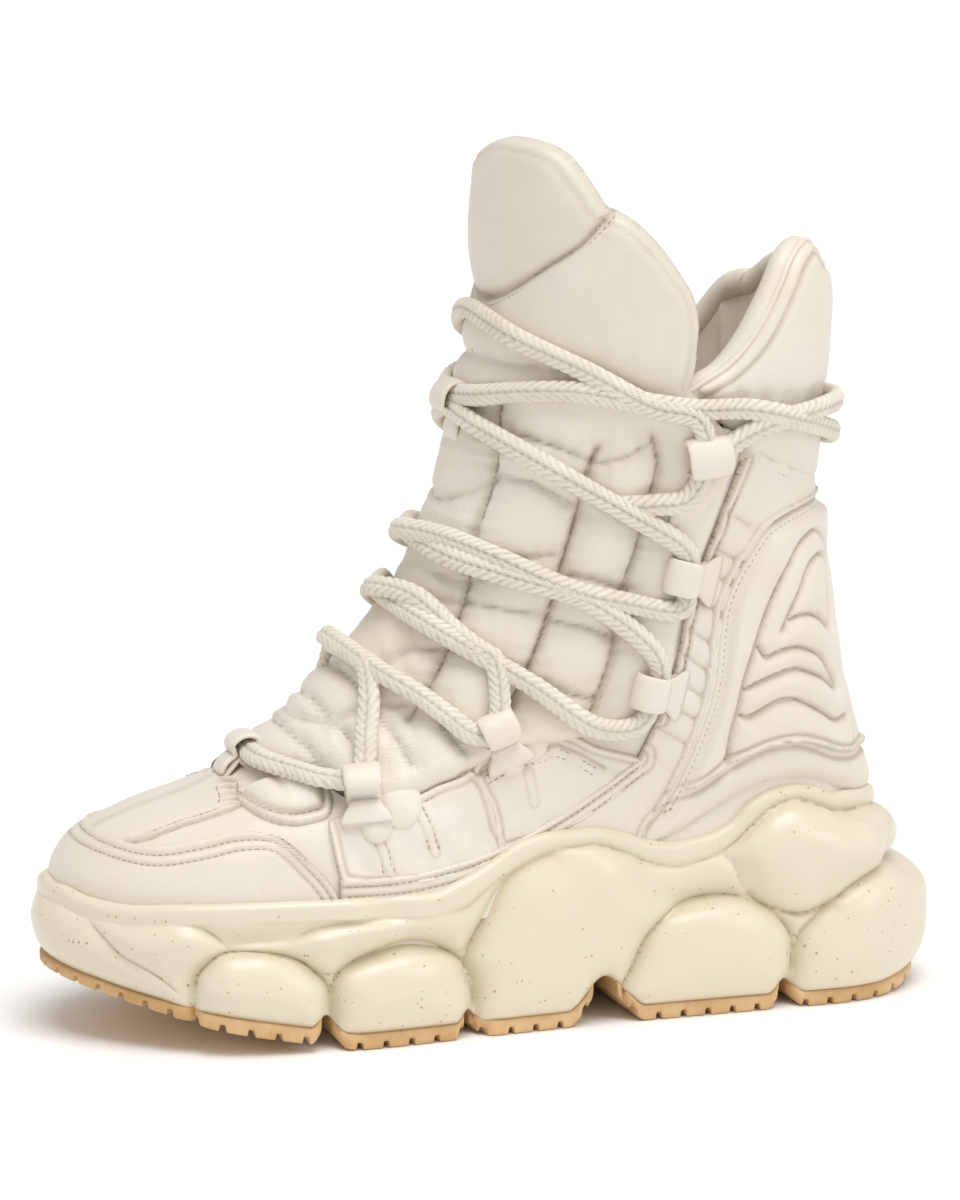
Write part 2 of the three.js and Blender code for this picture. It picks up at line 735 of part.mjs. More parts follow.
// Runs of the lace on the outer side, from a loop towards the front: side, length, height, lift
const runs = {
  toe: [[1, 0.693, 0.289, toeLift], [1, 0.71, 0.296, toeLift], [1, 0.72, 0.303, toeLift]],
  firstTop: [[1, 0.648, 0.335], [1, 0.638, 0.37], [1, 0.633, 0.398, highLift]],
  secondLow: [[1, 0.55, 0.338], [1, 0.573, 0.357], [1, 0.597, 0.377], [1, 0.625, 0.394, highLift]],
  secondTop: [[1, 0.52, 0.412], [1, 0.535, 0.428], [1, 0.552, 0.444], [1, 0.574, 0.475, highLift]],
  thirdLow: [[1, 0.378, 0.346], [1, 0.427, 0.348], [1, 0.489, 0.394], [1, 0.567, 0.444, highLift]],
  thirdTop: [[1, 0.356, 0.416], [1, 0.382, 0.45], [1, 0.433, 0.49], [1, 0.498, 0.512], [1, 0.543, 0.526]],
  fourthLow: [[1, 0.332, 0.474], [1, 0.387, 0.484], [1, 0.445, 0.5], [1, 0.503, 0.53], [1, 0.543, 0.546]],
  fourthTop: [[1, 0.33, 0.546], [1, 0.387, 0.587], [1, 0.445, 0.626], [1, 0.488, 0.657], [1, 0.508, 0.674]],
  fifthLow: [[1, 0.326, 0.603], [1, 0.359, 0.6], [1, 0.395, 0.592]],
  fifthTop: [[1, 0.321, 0.692], [1, 0.367, 0.706], [1, 0.422, 0.742], [1, 0.474, 0.775, neckLift]],
};
const collarLift = collarPuff + 4 * clearance + laceThickness / 2;
const wrap = [
  [1, 0.501, 0.706],
  [1, 0.476, 0.715],
  [1, 0.431, 0.72],
  [1, 0.376, 0.71],
  [1, 0.321, 0.702, collarLift],
  [1, 0.265, 0.7, collarLift],
  [1, 0.21, 0.685, collarLift + 1],
  [1, 0.157, 0.662, collarLift + 1],
];
const wrapBack = [0, 0, 0.65, collarLift + 2 * clearance];
const secondWrap = [
  [1, 0.279, 0.664, collarLift],
  [1, 0.237, 0.684, collarLift],
  [1, 0.192, 0.694, collarLift + 1],
  [1, 0.153, 0.697, collarLift + 1],
];
const secondBack = [0, 0, 0.695, collarLift + 2 * clearance];

// Folded loops down each side: place of the cord's tunnel, how far the tail turns to the heel, and what
// lifts a loop where the instep is hollow
const loops = [
  { u: 0.665, z: 0.292, slope: 0.1 },
  { u: 0.517, z: 0.342, slope: 0.3, lift: 2 },
  { u: 0.357, z: 0.382, slope: 1.3 },
  { u: 0.334, z: 0.512, slope: 1.4 },
  { u: 0.302, z: 0.637, slope: 0.8 },
];
const loopTail = 14.5;
const loopBore = laceThickness / 2 + 1;

// Folded strap with a tunnel for the cord, square to the surface under its tail; it stands over the
// tongue and the tail drops to the leather
function loopSolid(side, { u, z, slope, lift = 0 }, drop, width = loopWidth) {
  const reach = loopTail / 2;
  const tail = [u - (Math.sin(slope) * reach) / soleLength, z - (Math.cos(slope) * reach) / bootHeight];
  const { normal, up } = frameOn(side, ...tail);
  const down = up.clone().multiplyScalar(-1).applyAxisAngle(normal, side * slope);
  const outer = loopBore + loopLeather;
  const root = 1.5 * outer;
  const shape = new THREE.Shape();
  shape.moveTo(0, 0);
  shape.lineTo(root, 0);
  shape.lineTo(root + drop, -drop - lift);
  shape.lineTo(loopTail, -drop - lift);
  shape.lineTo(loopTail, loopLeather - drop - lift);
  shape.lineTo(root, 1.5 * loopLeather);
  shape.absarc(0, outer, outer, 0, 1.5 * Math.PI, false);
  const bore = new THREE.Path();
  bore.absarc(0, outer, loopBore, 0, 2 * Math.PI, true);
  shape.holes.push(bore);
  const strip = new THREE.ExtrudeGeometry(shape, { depth: width, bevelEnabled: false, curveSegments: 4 });
  strip.translate(-reach, 0, -width / 2);
  const cross = new THREE.Vector3().crossVectors(down, normal);
  strip.applyMatrix4(new THREE.Matrix4().makeBasis(down, normal, cross));
  const seat = placeOn(side, ...tail, pillowDepth + clearance + lift);
  strip.translate(seat.x, seat.y, seat.z);
  return solidOf(strip);
}

const leather = new THREE.MeshStandardMaterial({ color: 0xe6dfd2, roughness: 0.5, metalness: 0 });
const foam = new THREE.MeshStandardMaterial({ color: 0xeae4cb, roughness: 0.35, metalness: 0 });
const gum = new THREE.MeshStandardMaterial({ color: 0xc99a5b, roughness: 0.6, metalness: 0 });
const cotton = new THREE.MeshStandardMaterial({ color: 0xd9d2c3, roughness: 0.9, metalness: 0 });
const lining = new THREE.MeshStandardMaterial({ color: 0xded6c6, roughness: 0.8, metalness: 0 });

const boot = new THREE.Group();

function place(name, solid, material) {
  const mesh = new THREE.Mesh(geometryOf(solid), material);
  mesh.name = name;
  boot.add(mesh);
}

const panel = (outline, from, to, side) =>
  layer(always(from), typeof to === "function" ? to : always(to)).intersect(across(outline, side));

function addSole() {
  place("midsole", midsole(), foam);
  place("insole", insole(), lining);
  const edges = [-0.1, ...grooves.map((groove) => groove.u), 1.1];
  const names = ["heel", "waist", "ball_rear", "ball_front", "toe"];
  names.forEach((name, i) => place(`outsole_${name}`, outsolePad(edges[i], edges[i + 1]), gum));
}

// The heel's padding starts from one layer of leather above the foam's rim
function heelOuter(turn, side, z) {
  const rim = rimAt(front - upperPoint(turn, side, z).y);
  return clearance + lerp(overlay, heelPuff, smooth(rim + 2.5 * heelPuff, rim + 6 * heelPuff, z));
}

function addUpper() {
  place("upper", panel(upperOutline, -upperWall, 0), leather);
  place("tongue", panel(inset(tongueOutline), -tongueWall, pillow), leather);
  const collar = panel(inset(collarOutline), -collarWall, collarPuff);
  place("collar", collar.subtract(across(collarDip, -1)), leather);
  place("toe_guard", panel(inset(toeOutline), clearance, clearance + overlay), leather);
  place("heel_panel", panel(inset(heelOutline), clearance, heelOuter), leather);
  for (const [word, side] of [["outer", 1], ["inner", -1]]) {
    const top = clearance + overlay;
    place(`side_strap_${word}`, panel(inset(strapOutline), clearance, top, side), leather);
    place(`quarter_front_${word}`, panel(quarterFrontOutline, clearance, top, side), leather);
    place(`quarter_rear_${word}`, panel(quarterRearOutline, clearance, top, side), leather);
    place(`vamp_pad_${word}`, panel(padOutline, clearance, clearance + 1.5 * overlay, side), leather);
  }
}

function addLoops() {
  const drop = pillowDepth - overlay - 2 * clearance;
  for (const [word, side] of [["outer", 1], ["inner", -1]]) {
    loops.forEach((loop, i) => place(`loop_${word}_${i + 1}`, loopSolid(side, loop, drop), leather));
  }
  place("loop_toe", loopSolid(0, { u: 1, z: 0.312, slope: 0, lift: 0.6 }, 0), leather);
  place("loop_tongue", loopSolid(0, { u: 1, z: 0.69, slope: 0 }, 0, 1.3 * loopWidth), leather);
}

// The lace crosses over the front between each pair of loops and goes twice round the ankle
function addLace() {
  const lace = (name, solid) => place(`lace_${name}`, solid, cotton);
  const crossed = (above, below, height) => {
    const centre = [0, 1, height, laceLift + 4 * clearance];
    return joined([bar(above, centre, below), bar(below, centre, above)]);
  };
  lace("cross_1", crossed(runs.secondLow, runs.firstTop, 0.405));
  lace("cross_2", crossed(runs.secondTop, runs.thirdLow, 0.468));
  lace("cross_3", crossed(runs.fourthLow, runs.thirdTop, 0.54));
  const round = (points, centre) => cord([...points, centre, ...mirrored(points).toReversed()]);
  const neck = round(runs.fifthTop, [0, 1, 0.8, neckLift]);
  lace("wrap", joined([round(wrap, wrapBack), round(secondWrap, secondBack), neck]));
  for (const [word, turn] of [["outer", (points) => points], ["inner", mirrored]]) {
    lace(`toe_${word}`, cord(turn(runs.toe)));
    lace(`cross_4_${word}`, joined([cord(turn(runs.fourthTop)), cord(turn(runs.fifthLow))]));
  }
}

addSole();
addUpper();
addLoops();
addLace();

const size = new THREE.Box3().setFromObject(boot);
const middleOfBox = size.getCenter(new THREE.Vector3());
boot.position.set(-middleOfBox.x, -middleOfBox.y, -size.min.z);

export default boot;
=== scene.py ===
"""Looks of a padded lace-up ankle boot: leather, quilting, lace, bubbled foam sole and rubber pads.

Lengths are millimetres in the boot's own frame: u is the distance forward of the heel and z the height,
as seen from the side; side is +1 outer and -1 inner. A surface of the last is walked in columns and
heights: "front" and "heel" count their columns c in millimetres round the last from the middle of the
front or of the heel, and "outer" and "inner" count them by u.
"""

import math
from functools import reduce

import bpy
import numpy as np
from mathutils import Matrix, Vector


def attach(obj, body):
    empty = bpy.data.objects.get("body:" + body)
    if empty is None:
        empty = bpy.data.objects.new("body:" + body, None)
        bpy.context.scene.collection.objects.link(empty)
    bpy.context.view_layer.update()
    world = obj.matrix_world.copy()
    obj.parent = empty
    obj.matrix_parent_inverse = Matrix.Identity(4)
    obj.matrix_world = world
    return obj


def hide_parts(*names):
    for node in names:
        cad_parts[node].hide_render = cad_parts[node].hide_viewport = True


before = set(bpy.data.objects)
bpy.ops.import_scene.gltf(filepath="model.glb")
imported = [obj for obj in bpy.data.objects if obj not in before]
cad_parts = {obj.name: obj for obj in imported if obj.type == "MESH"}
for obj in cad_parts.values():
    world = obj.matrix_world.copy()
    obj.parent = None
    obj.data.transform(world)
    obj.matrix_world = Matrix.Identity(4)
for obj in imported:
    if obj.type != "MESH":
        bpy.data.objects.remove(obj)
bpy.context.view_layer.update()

# Driving sizes, as in the solids
SOLE_LENGTH = 305.0
SOLE_WIDTH = 104.0
RIM_HEIGHT = 71.0
BOOT_HEIGHT = 283.0
UPPER_WIDTH = 94.0
BUBBLE_DEPTH = 7.0
FOAM_FLOOR = 34.0
PAD_SHOWN = 4.3
PAD_LESS_AT_TOE = 1.4
WALL = 3.5
TONGUE_WALL = 7.0
COLLAR_WALL = 8.0
LACE_WIDTH = 7.2
LACE_THICKNESS = 4.6
FRONT = SOLE_LENGTH / 2
SIDE_ROUND = 2.2  # how square the last's sections are, where 2 is an ellipse
SHARES = np.array([SOLE_LENGTH, BOOT_HEIGHT])
TO_METRES = 0.001
SHIFT = np.array([0.0, -0.5533, 0.0])  # the pack keeps the boot centred on its box


def smooth(a, b, x):
    """Soft step from 0 at a to 1 at b."""
    t = np.clip((x - a) / (b - a), 0, 1)
    return t * t * (3 - 2 * t)


def lerp(a, b, t):
    return a + (b - a) * t


def table(names, rows):
    """Columns by name."""
    return dict(zip(names.split(), np.array(rows, float).T))


def read(rows, key, name, at):
    """One column of a table between its rows, without overshoot."""
    x, y = rows[key], rows[name]
    at = np.clip(at, x[0], x[-1])
    slope = np.diff(y) / np.diff(x)
    before, after = slope[:-1], slope[1:]
    same = before * after > 0
    mean = np.where(same, 2 * before * after / np.where(same, before + after, 1), 0)
    bend = np.concatenate([slope[:1], mean, slope[-1:]])
    i = np.clip(np.searchsorted(x, at, side="right") - 1, 0, len(x) - 2)
    span = x[i + 1] - x[i]
    t = (at - x[i]) / span
    ease = lerp(y[i], y[i + 1], t * t * (3 - 2 * t))
    return ease + t * (1 - t) ** 2 * span * bend[i] + t * t * (t - 1) * span * bend[i + 1]


# Sections of the last by height: rear and fore ends, half width, where it is widest, and how square the
# front and the rear of the section are. Heights, lengths and widths are shares of the driving sizes
SECTIONS = table(
    "z back front half wide nose tail",
    [
        (0.106, 0.056, 0.954, 0.5, 0.7, 3, 4.6),
        (0.17, 0.059, 0.957, 0.5, 0.69, 3, 4.4),
        (0.205, 0.067, 0.942, 0.489, 0.66, 2.9, 4),
        (0.233, 0.0725, 0.898, 0.479, 0.62, 2.7, 3.6),
        (0.269, 0.0825, 0.806, 0.468, 0.56, 2.5, 3.2),
        (0.304, 0.0915, 0.747, 0.457, 0.49, 2.3, 2.8),
        (0.346, 0.1015, 0.703, 0.447, 0.45, 2.2, 2.7),
        (0.389, 0.111, 0.659, 0.447, 0.44, 2.1, 2.6),
        (0.459, 0.121, 0.597, 0.447, 0.45, 2.1, 2.6),
        (0.53, 0.132, 0.561, 0.457, 0.46, 2.1, 2.5),
        (0.618, 0.144, 0.533, 0.479, 0.47, 2.1, 2.5),
        (0.707, 0.138, 0.51, 0.5, 0.48, 2.1, 2.5),
        (0.813, 0.132, 0.491, 0.511, 0.48, 2.1, 2.5),
        (0.926, 0.15, 0.484, 0.5, 0.48, 2.1, 2.5),
        (1.032, 0.177, 0.477, 0.468, 0.48, 2.1, 2.5),
    ],
)
# How much slimmer the last is at the waist of the foot, low down
WAIST = table("u share", [(0, 0.84), (0.3, 0.84), (0.45, 0.88), (0.58, 0.96), (0.68, 1)])
# Foam by length: its bed as shares of FOAM_FLOOR, its rim and its ground line as shares of RIM_HEIGHT
SOLE_HEIGHTS = table(
    "u floor rim ground",
    [
        (0, 1.18, 0.79, 0.084),
        (0.065, 1.18, 0.82, 0.017),
        (0.1, 1.17, 0.93, 0),
        (0.15, 1.16, 1, 0),
        (0.21, 1.13, 0.99, 0),
        (0.255, 1.08, 0.86, 0),
        (0.3, 1.02, 0.78, 0),
        (0.355, 0.95, 0.8, 0),
        (0.41, 0.88, 0.87, 0),
        (0.48, 0.81, 0.9, 0),
        (0.55, 0.75, 0.82, 0),
        (0.62, 0.71, 0.71, 0),
        (0.68, 0.7, 0.675, 0),
        (0.73, 0.71, 0.67, 0.037),
        (0.8, 0.75, 0.67, 0.093),
        (0.87, 0.83, 0.67, 0.162),
        (0.93, 0.93, 0.66, 0.232),
        (1, 1.05, 0.69, 0.324),
    ],
)
# Half widths of the sole's plan on both sides, as shares of SOLE_WIDTH
SOLE_PLAN = table(
    "u outer inner",
    [
        (0, 0.375, 0.36),
        (0.16, 0.405, 0.4),
        (0.3, 0.42, 0.425),
        (0.43, 0.44, 0.43),
        (0.57, 0.485, 0.465),
        (0.7, 0.52, 0.485),
        (0.82, 0.505, 0.49),
        (0.9, 0.442, 0.45),
        (1, 0.33, 0.385),
    ],
)


def bed_at(u):
    """Height of the foam's bed under the foot."""
    return FOAM_FLOOR * read(SOLE_HEIGHTS, "u", "floor", u / SOLE_LENGTH)


def pad_shown(u):
    """Height of the rubber pads that shows."""
    return PAD_SHOWN - PAD_LESS_AT_TOE * smooth(240, 285, u)


def foam_under(u):
    """Underside of the foam; the pads' inner part lies up in it."""
    return RIM_HEIGHT * read(SOLE_HEIGHTS, "u", "ground", u / SOLE_LENGTH) + pad_shown(u)


def section_at(z):
    """The last's section at a height: its shares, its rear and fore ends, and where it is widest."""
    share = {name: read(SECTIONS, "z", name, z / BOOT_HEIGHT) for name in SECTIONS if name != "z"}
    back, fore = SOLE_LENGTH * share["back"], SOLE_LENGTH * share["front"]
    return share, back, fore, lerp(back, fore, share["wide"])


def upper_point(around, z):
    """Surface of the last; around runs -1..1, 0 at the heel, positive on the outer side."""
    around, z = np.broadcast_arrays(np.asarray(around, float), np.asarray(z, float))
    turn, side = np.abs(around), np.where(around < 0, -1.0, 1.0)
    share, back, fore, widest = section_at(z)
    along = np.cos(np.pi * turn)
    power = np.where(along > 0, share["tail"], share["nose"])
    reach = np.where(along > 0, widest - back, fore - widest)
    u = widest - np.sign(along) * np.abs(along) ** (2 / power) * reach
    share_u = u / SOLE_LENGTH
    waist = lerp(read(WAIST, "u", "share", share_u), 1, smooth(0.2, 0.42, z / BOOT_HEIGHT))
    across = UPPER_WIDTH * share["half"] * waist * np.abs(np.sin(np.pi * turn)) ** (2 / SIDE_ROUND)
    middle = UPPER_WIDTH * (0.032 * smooth(0.3, 0.62, share_u) - 0.096 * smooth(0.62, 1, share_u))
    return np.stack([middle + side * across, FRONT - u, z], -1)


def turn_at(u, z):
    """The turn of a side-view place, 0 at the heel and 1 at the front."""
    share, back, fore, widest = section_at(z)
    behind = u < widest
    reach = np.where(behind, widest - back, fore - widest)
    power = np.where(behind, share["tail"], share["nose"])
    part = np.minimum(np.abs(u - widest) / reach, 1) ** (power / 2)
    return np.arccos(np.sign(widest - u) * part) / np.pi


# Arc lengths round the last at whole millimetres of height, and the turns that they belong to
HEIGHTS = np.arange(14.0, 297.0)
TURNS = np.linspace(0, 1, 501)
ARCS = np.arange(0.0, 320.0)


def arc_tables():
    """Turns by arc and arcs by turn, at every height, from the heel and from the front."""
    ring = upper_point(TURNS[None, :], HEIGHTS[:, None])
    steps = np.linalg.norm(np.diff(ring, axis=1), axis=-1)
    from_heel = np.concatenate([np.zeros((len(HEIGHTS), 1)), np.cumsum(steps, 1)], 1)
    from_front = from_heel[:, -1:] - from_heel
    heel = np.array([np.interp(ARCS, row, TURNS) for row in from_heel])
    front = np.array([np.interp(ARCS, row[::-1], TURNS[::-1]) for row in from_front])
    return {"heel": heel, "front": front}, {"heel": from_heel, "front": from_front}


TURN_OF_ARC, ARC_OF_TURN = arc_tables()


def look_up(values, z, column):
    """A value between the rows and columns of an arc table."""
    i = np.clip(z - HEIGHTS[0], 0, len(HEIGHTS) - 1.001)
    j = np.clip(column, 0, values.shape[1] - 1.001)
    i0, j0 = i.astype(int), j.astype(int)
    fi, fj = i - i0, j - j0
    low = lerp(values[i0, j0], values[i0, j0 + 1], fj)
    high = lerp(values[i0 + 1, j0], values[i0 + 1, j0 + 1], fj)
    return lerp(low, high, fi)


def around_of(kind, c, z):
    """The turn that a column stands for: an arc from the front or heel, or u on one side."""
    c, z = np.broadcast_arrays(np.asarray(c, float), np.asarray(z, float))
    if kind in ("front", "heel"):
        return np.where(c < 0, -1, 1) * look_up(TURN_OF_ARC[kind], z, np.abs(c))
    return (1 if kind == "outer" else -1) * turn_at(c, z)


def arc_of(kind, side, u, z):
    """The column of a side-view place on a front or heel surface."""
    u, z = np.asarray(u, float), np.asarray(z, float)
    return side * look_up(ARC_OF_TURN[kind], z, turn_at(u, z) * (len(TURNS) - 1))


def base_point(kind, c, z):
    return upper_point(around_of(kind, c, z), z)


def normal_at(kind, c, z):
    """Outward direction of the last."""
    step = 1.5
    along = base_point(kind, c + step, z) - base_point(kind, c - step, z)
    up = base_point(kind, c, z + step) - base_point(kind, c, z - step)
    n = np.cross(along, up) * (1 if kind in ("front", "inner") else -1)
    return n / (np.linalg.norm(n, axis=-1, keepdims=True) + 1e-9)


def surface(kind, c, z, height):
    """Places that stand that high over the last."""
    height = np.asarray(height, float)
    return base_point(kind, c, z) + normal_at(kind, c, z) * height[..., None]


def spline(points, steps=7):
    """Smooth curve through all the points."""
    p = np.array(points, float)
    p = np.concatenate([[2 * p[0] - p[1]], p, [2 * p[-1] - p[-2]]])
    t = np.linspace(0, 1, steps, endpoint=False)[:, None]
    out = []
    for a, b, c, d in zip(p[:-3], p[1:-2], p[2:-1], p[3:]):
        bend = (2 * a - 5 * b + 4 * c - d) * t**2 + (3 * b - a - 3 * c + d) * t**3
        out.append(0.5 * (2 * b + (c - a) * t + bend))
    return np.concatenate(out + [p[-2:-1]])


def line(points, steps=5):
    """Smooth side-view line through shares of the sole's length and the boot's height."""
    return spline(np.array(points, float) * SHARES, steps)


# Side-view lines of the upper's panels, as shares of the sole's length and the boot's height
THROAT = line(
    [
        (0.77, 0.312), (0.764, 0.3), (0.73, 0.296), (0.702, 0.294), (0.694, 0.268), (0.68, 0.259),
        (0.656, 0.265), (0.616, 0.274), (0.59, 0.284), (0.567, 0.292), (0.552, 0.3), (0.479, 0.322),
        (0.413, 0.329), (0.377, 0.339), (0.341, 0.367), (0.331, 0.41), (0.323, 0.459), (0.308, 0.512),
        (0.289, 0.569), (0.264, 0.65),
    ]
)
COLLAR_LINE = line([(0.264, 0.65), (0.216, 0.627), (0.161, 0.605), (0.06, 0.603), (-0.1, 0.603)])
BAND_LINE = line([(0.7, 0.19), (0.616, 0.192), (0.525, 0.212), (0.459, 0.242), (0.413, 0.27), (0.367, 0.302)])
STRAP_FRONT = line(
    [(0.346, 0.345), (0.328, 0.41), (0.319, 0.459), (0.304, 0.512), (0.285, 0.569), (0.26, 0.64)]
)
REAR_SEAM = line(
    [
        (0.375, 0.19), (0.369, 0.221), (0.338, 0.265), (0.302, 0.364), (0.288, 0.477), (0.252, 0.548),
        (0.22, 0.576), (0.161, 0.59), (0.06, 0.592), (-0.1, 0.592),
    ]
)
COLLAR_FRONT = line([(0.264, 0.65), (0.285, 0.68), (0.318, 0.722)])
# The collar's top edge on the outer side; it falls lower on the inner side, in front of the heel
COLLAR_TOP = spline(
    [
        (97, 204), (91, 207.6), (85, 211.2), (77.8, 218), (72, 226), (66, 236.4), (61.5, 244),
        (56.5, 248.5),
        (52.5, 249.5), (48.5, 247), (45, 243.5), (30, 241.5), (0, 241), (-30, 241),
    ],
    5,
)
INNER_DROP = 27.0
LOBE = line([(0.403, 0.917), (0.42, 0.952), (0.438, 0.981), (0.462, 0.996), (0.5, 1.0), (0.6, 1.0)])
TOE_TOP = line(
    [
        (1.1, 0.232), (0.96, 0.232), (0.93, 0.227), (0.882, 0.22), (0.836, 0.228), (0.795, 0.238),
        (0.757, 0.236), (0.73, 0.212), (0.7, 0.168), (0.69, 0.1),
    ]
)


def distance_to(lines, u, z):
    """Least distance in the side view from places to one or more lines."""
    best = np.full(np.shape(u), 1e9)
    for points in lines:
        points = np.asarray(points, float)
        for a, b in zip(points[:-1], points[1:]):
            ab = b - a
            t = np.clip(((u - a[0]) * ab[0] + (z - a[1]) * ab[1]) / max(ab @ ab, 1e-9), 0, 1)
            best = np.minimum(best, np.hypot(u - a[0] - t * ab[0], z - a[1] - t * ab[1]))
    return best


def inside_distance(outline, u, z):
    """Distance to a closed outline, positive inside it."""
    closed = np.concatenate([outline, outline[:1]])
    inside = np.zeros(np.shape(u), bool)
    for (ua, za), (ub, zb) in zip(closed[:-1], closed[1:]):
        if za == zb:
            continue
        crosses = (za > z) != (zb > z)
        inside ^= crosses & (u < (ub - ua) * (z - za) / (zb - za) + ua)
    away = distance_to([closed], u, z)
    return np.where(inside, away, -away)


def swell(t, power=0.5):
    """Round rise from 0 at an edge to 1 at t = 1."""
    t = np.clip(t, 0, 1)
    return (1 - (1 - t) ** 2) ** power


def bell(x, width):
    """1 at x = 0, fading to both sides."""
    return np.exp(-((x / width) ** 2))


def groove(distance, depth, width):
    return -depth * bell(distance, width)


def darkest(*tints):
    return reduce(np.maximum, tints)


def ripple(u, z, length, seed=0.0):
    """Soft irregular waves of about that length, -1..1."""
    a, b = u / length, z / length
    first = np.sin(6.1 * a + 1.7 * np.sin(2.3 * b + seed)) * np.sin(5.3 * b + 1.3 * np.sin(3.1 * a + seed))
    return 0.6 * first + 0.4 * np.sin(3.7 * a - 4.9 * b + 2.1 * seed)


def add_mesh(name, points, faces, material, marks=None):
    """Mesh of a piece; marks are its named values from 0 to 1 at each point, read by the materials."""
    mesh = bpy.data.meshes.new(name)
    mesh.from_pydata((np.asarray(points) + SHIFT) * TO_METRES, [], faces)
    for word, values in (marks or {}).items():
        layer = mesh.attributes.new(word, "FLOAT", "POINT")
        layer.data.foreach_set("value", np.clip(values, 0, 1).astype(np.float32))
    mesh.validate()
    mesh.polygons.foreach_set("use_smooth", [True] * len(mesh.polygons))
    mesh.materials.append(material)
    piece = bpy.data.objects.new(name, mesh)
    bpy.context.collection.objects.link(piece)
    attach(piece, "root")
    return piece


WELD_WITHIN = 0.002


def weld(points, faces):
    """Joins equal points and drops the faces that collapse; also says which points are kept."""
    keys = np.round(points / WELD_WITHIN).astype(np.int64)
    _, first, index = np.unique(keys, axis=0, return_index=True, return_inverse=True)
    index = index.ravel()
    kept = []
    for face in faces:
        ring = []
        for k in index[list(face)]:
            if k not in ring:
                ring.append(int(k))
        if len(ring) > 2:
            kept.append(ring)
    return points[first], kept, first


def grid_faces(inside, flip=False):
    """Faces of a grid whose corners are inside; a cell with one corner out keeps a triangle."""
    rows, columns = inside.shape
    number = np.arange(rows * columns).reshape(rows, columns)
    corners = np.stack([number[:-1, :-1], number[:-1, 1:], number[1:, 1:], number[1:, :-1]], -1)
    corners = corners.reshape(-1, 4)
    kept = inside.ravel()[corners]
    quads = corners[kept.all(1)].tolist()
    three = kept.sum(1) == 3
    tris = [[int(v) for v, k in zip(c, f) if k] for c, f in zip(corners[three], kept[three])]
    faces = quads + tris
    return [f[::-1] for f in faces] if flip else faces


def panel(
    name, kind, columns, rows, outline, outer, material, inner=None, cell=0.9, fall=None
):
    """Sheet of a surface inside a side outline, its rim set on the outline. Outer gives the height, the
    tint (painted shade in grooves and at edges) and the pucker at (u, z, edge distance, column); with
    inner it is a closed padded shell. Fall is how much lower the outline lies at (column, z)."""
    c = np.arange(columns[0], columns[1] + cell, cell)
    z = np.arange(rows[0], rows[1] + cell, cell)
    cc, zz = np.meshgrid(c, z)

    def edge(cc, zz):
        drop = fall(cc, zz) if fall else 0
        return inside_distance(outline, FRONT - base_point(kind, cc, zz)[..., 1], zz + drop)

    d = edge(cc, zz)
    dz, dc = np.gradient(d, cell)
    steep = dz**2 + dc**2 + 1e-6
    near = np.abs(d) < 0.75 * cell * np.sqrt(steep)
    for _ in range(2):
        cc = cc - np.where(near, d * dc / steep, 0)
        zz = zz - np.where(near, d * dz / steep, 0)
        d = edge(cc, zz)
    d = np.where(near, 0, d)
    inside = d >= 0
    u = FRONT - base_point(kind, cc, zz)[..., 1]
    height, tint, pucker = outer(u, zz, np.maximum(d, 0), cc)
    points = surface(kind, cc, zz, height).reshape(-1, 3)
    marks = [np.broadcast_to(value, u.shape).ravel() for value in (tint, pucker)]
    outward = kind in ("front", "inner")
    faces = grid_faces(inside, not outward)
    if inner is not None:
        back = surface(kind, cc, zz, inner(u, zz, np.maximum(d, 0), cc)).reshape(-1, 3)
        faces = faces + [[v + len(points) for v in f] for f in grid_faces(inside, outward)]
        points = np.concatenate([points, back])
        # The inside gets a third of the outer side's pucker and of its tint, which is painted shade.
        marks = [np.concatenate([value, 0.3 * value]) for value in marks]
    points, faces, kept = weld(points, faces)
    marks = {"tint": marks[0][kept], "pucker": marks[1][kept]}
    return add_mesh(name, points, faces, material, marks)


def ring_mesh(rings, capped=True):
    """Points and faces of a tube through equal rings of points."""
    n = len(rings[0])
    points = np.concatenate(rings)
    faces = []
    for r in range(len(rings) - 1):
        for i in range(n):
            j = (i + 1) % n
            faces.append([r * n + i, r * n + j, (r + 1) * n + j, (r + 1) * n + i])
    if capped:
        faces.append(list(range(n))[::-1])
        faces.append([(len(rings) - 1) * n + i for i in range(n)])
    return points, faces


# Materials
def shader(name, colour, roughness, coat=0.0, sheen=0.0, subsurface=0.0):
    material = bpy.data.materials.new(name)
    material.use_nodes = True
    tree = material.node_tree
    principled = tree.nodes["Principled BSDF"]
    principled.inputs["Base Color"].default_value = (*colour, 1)
    principled.inputs["Roughness"].default_value = roughness
    principled.inputs["Coat Weight"].default_value = coat
    principled.inputs["Coat Roughness"].default_value = 0.25
    principled.inputs["Sheen Weight"].default_value = sheen
    principled.inputs["Subsurface Weight"].default_value = subsurface
    principled.inputs["Subsurface Radius"].default_value = (0.004, 0.003, 0.002)
    return material, tree, principled


def add_node(tree, kind, sources=(), **settings):
    """A node with its settings, its inputs set or linked by name or number."""
    node = tree.nodes.new(kind)
    for key, value in settings.items():
        setattr(node, key, value)
    for key, value in dict(sources).items():
        if isinstance(value, bpy.types.NodeSocket):
            tree.links.new(value, node.inputs[key])
        else:
            node.inputs[key].default_value = value
    return node


def noise(tree, where, scale, detail=2.0, roughness=0.5):
    inputs = {"Vector": where, "Scale": scale, "Detail": detail, "Roughness": roughness}
    return add_node(tree, "ShaderNodeTexNoise", inputs).outputs["Fac"]


def ramp(tree, value, low, high, to_low=0.0, to_high=1.0):
    inputs = {"Value": value, "From Min": low, "From Max": high, "To Min": to_low, "To Max": to_high}
    return add_node(tree, "ShaderNodeMapRange", inputs).outputs["Result"]


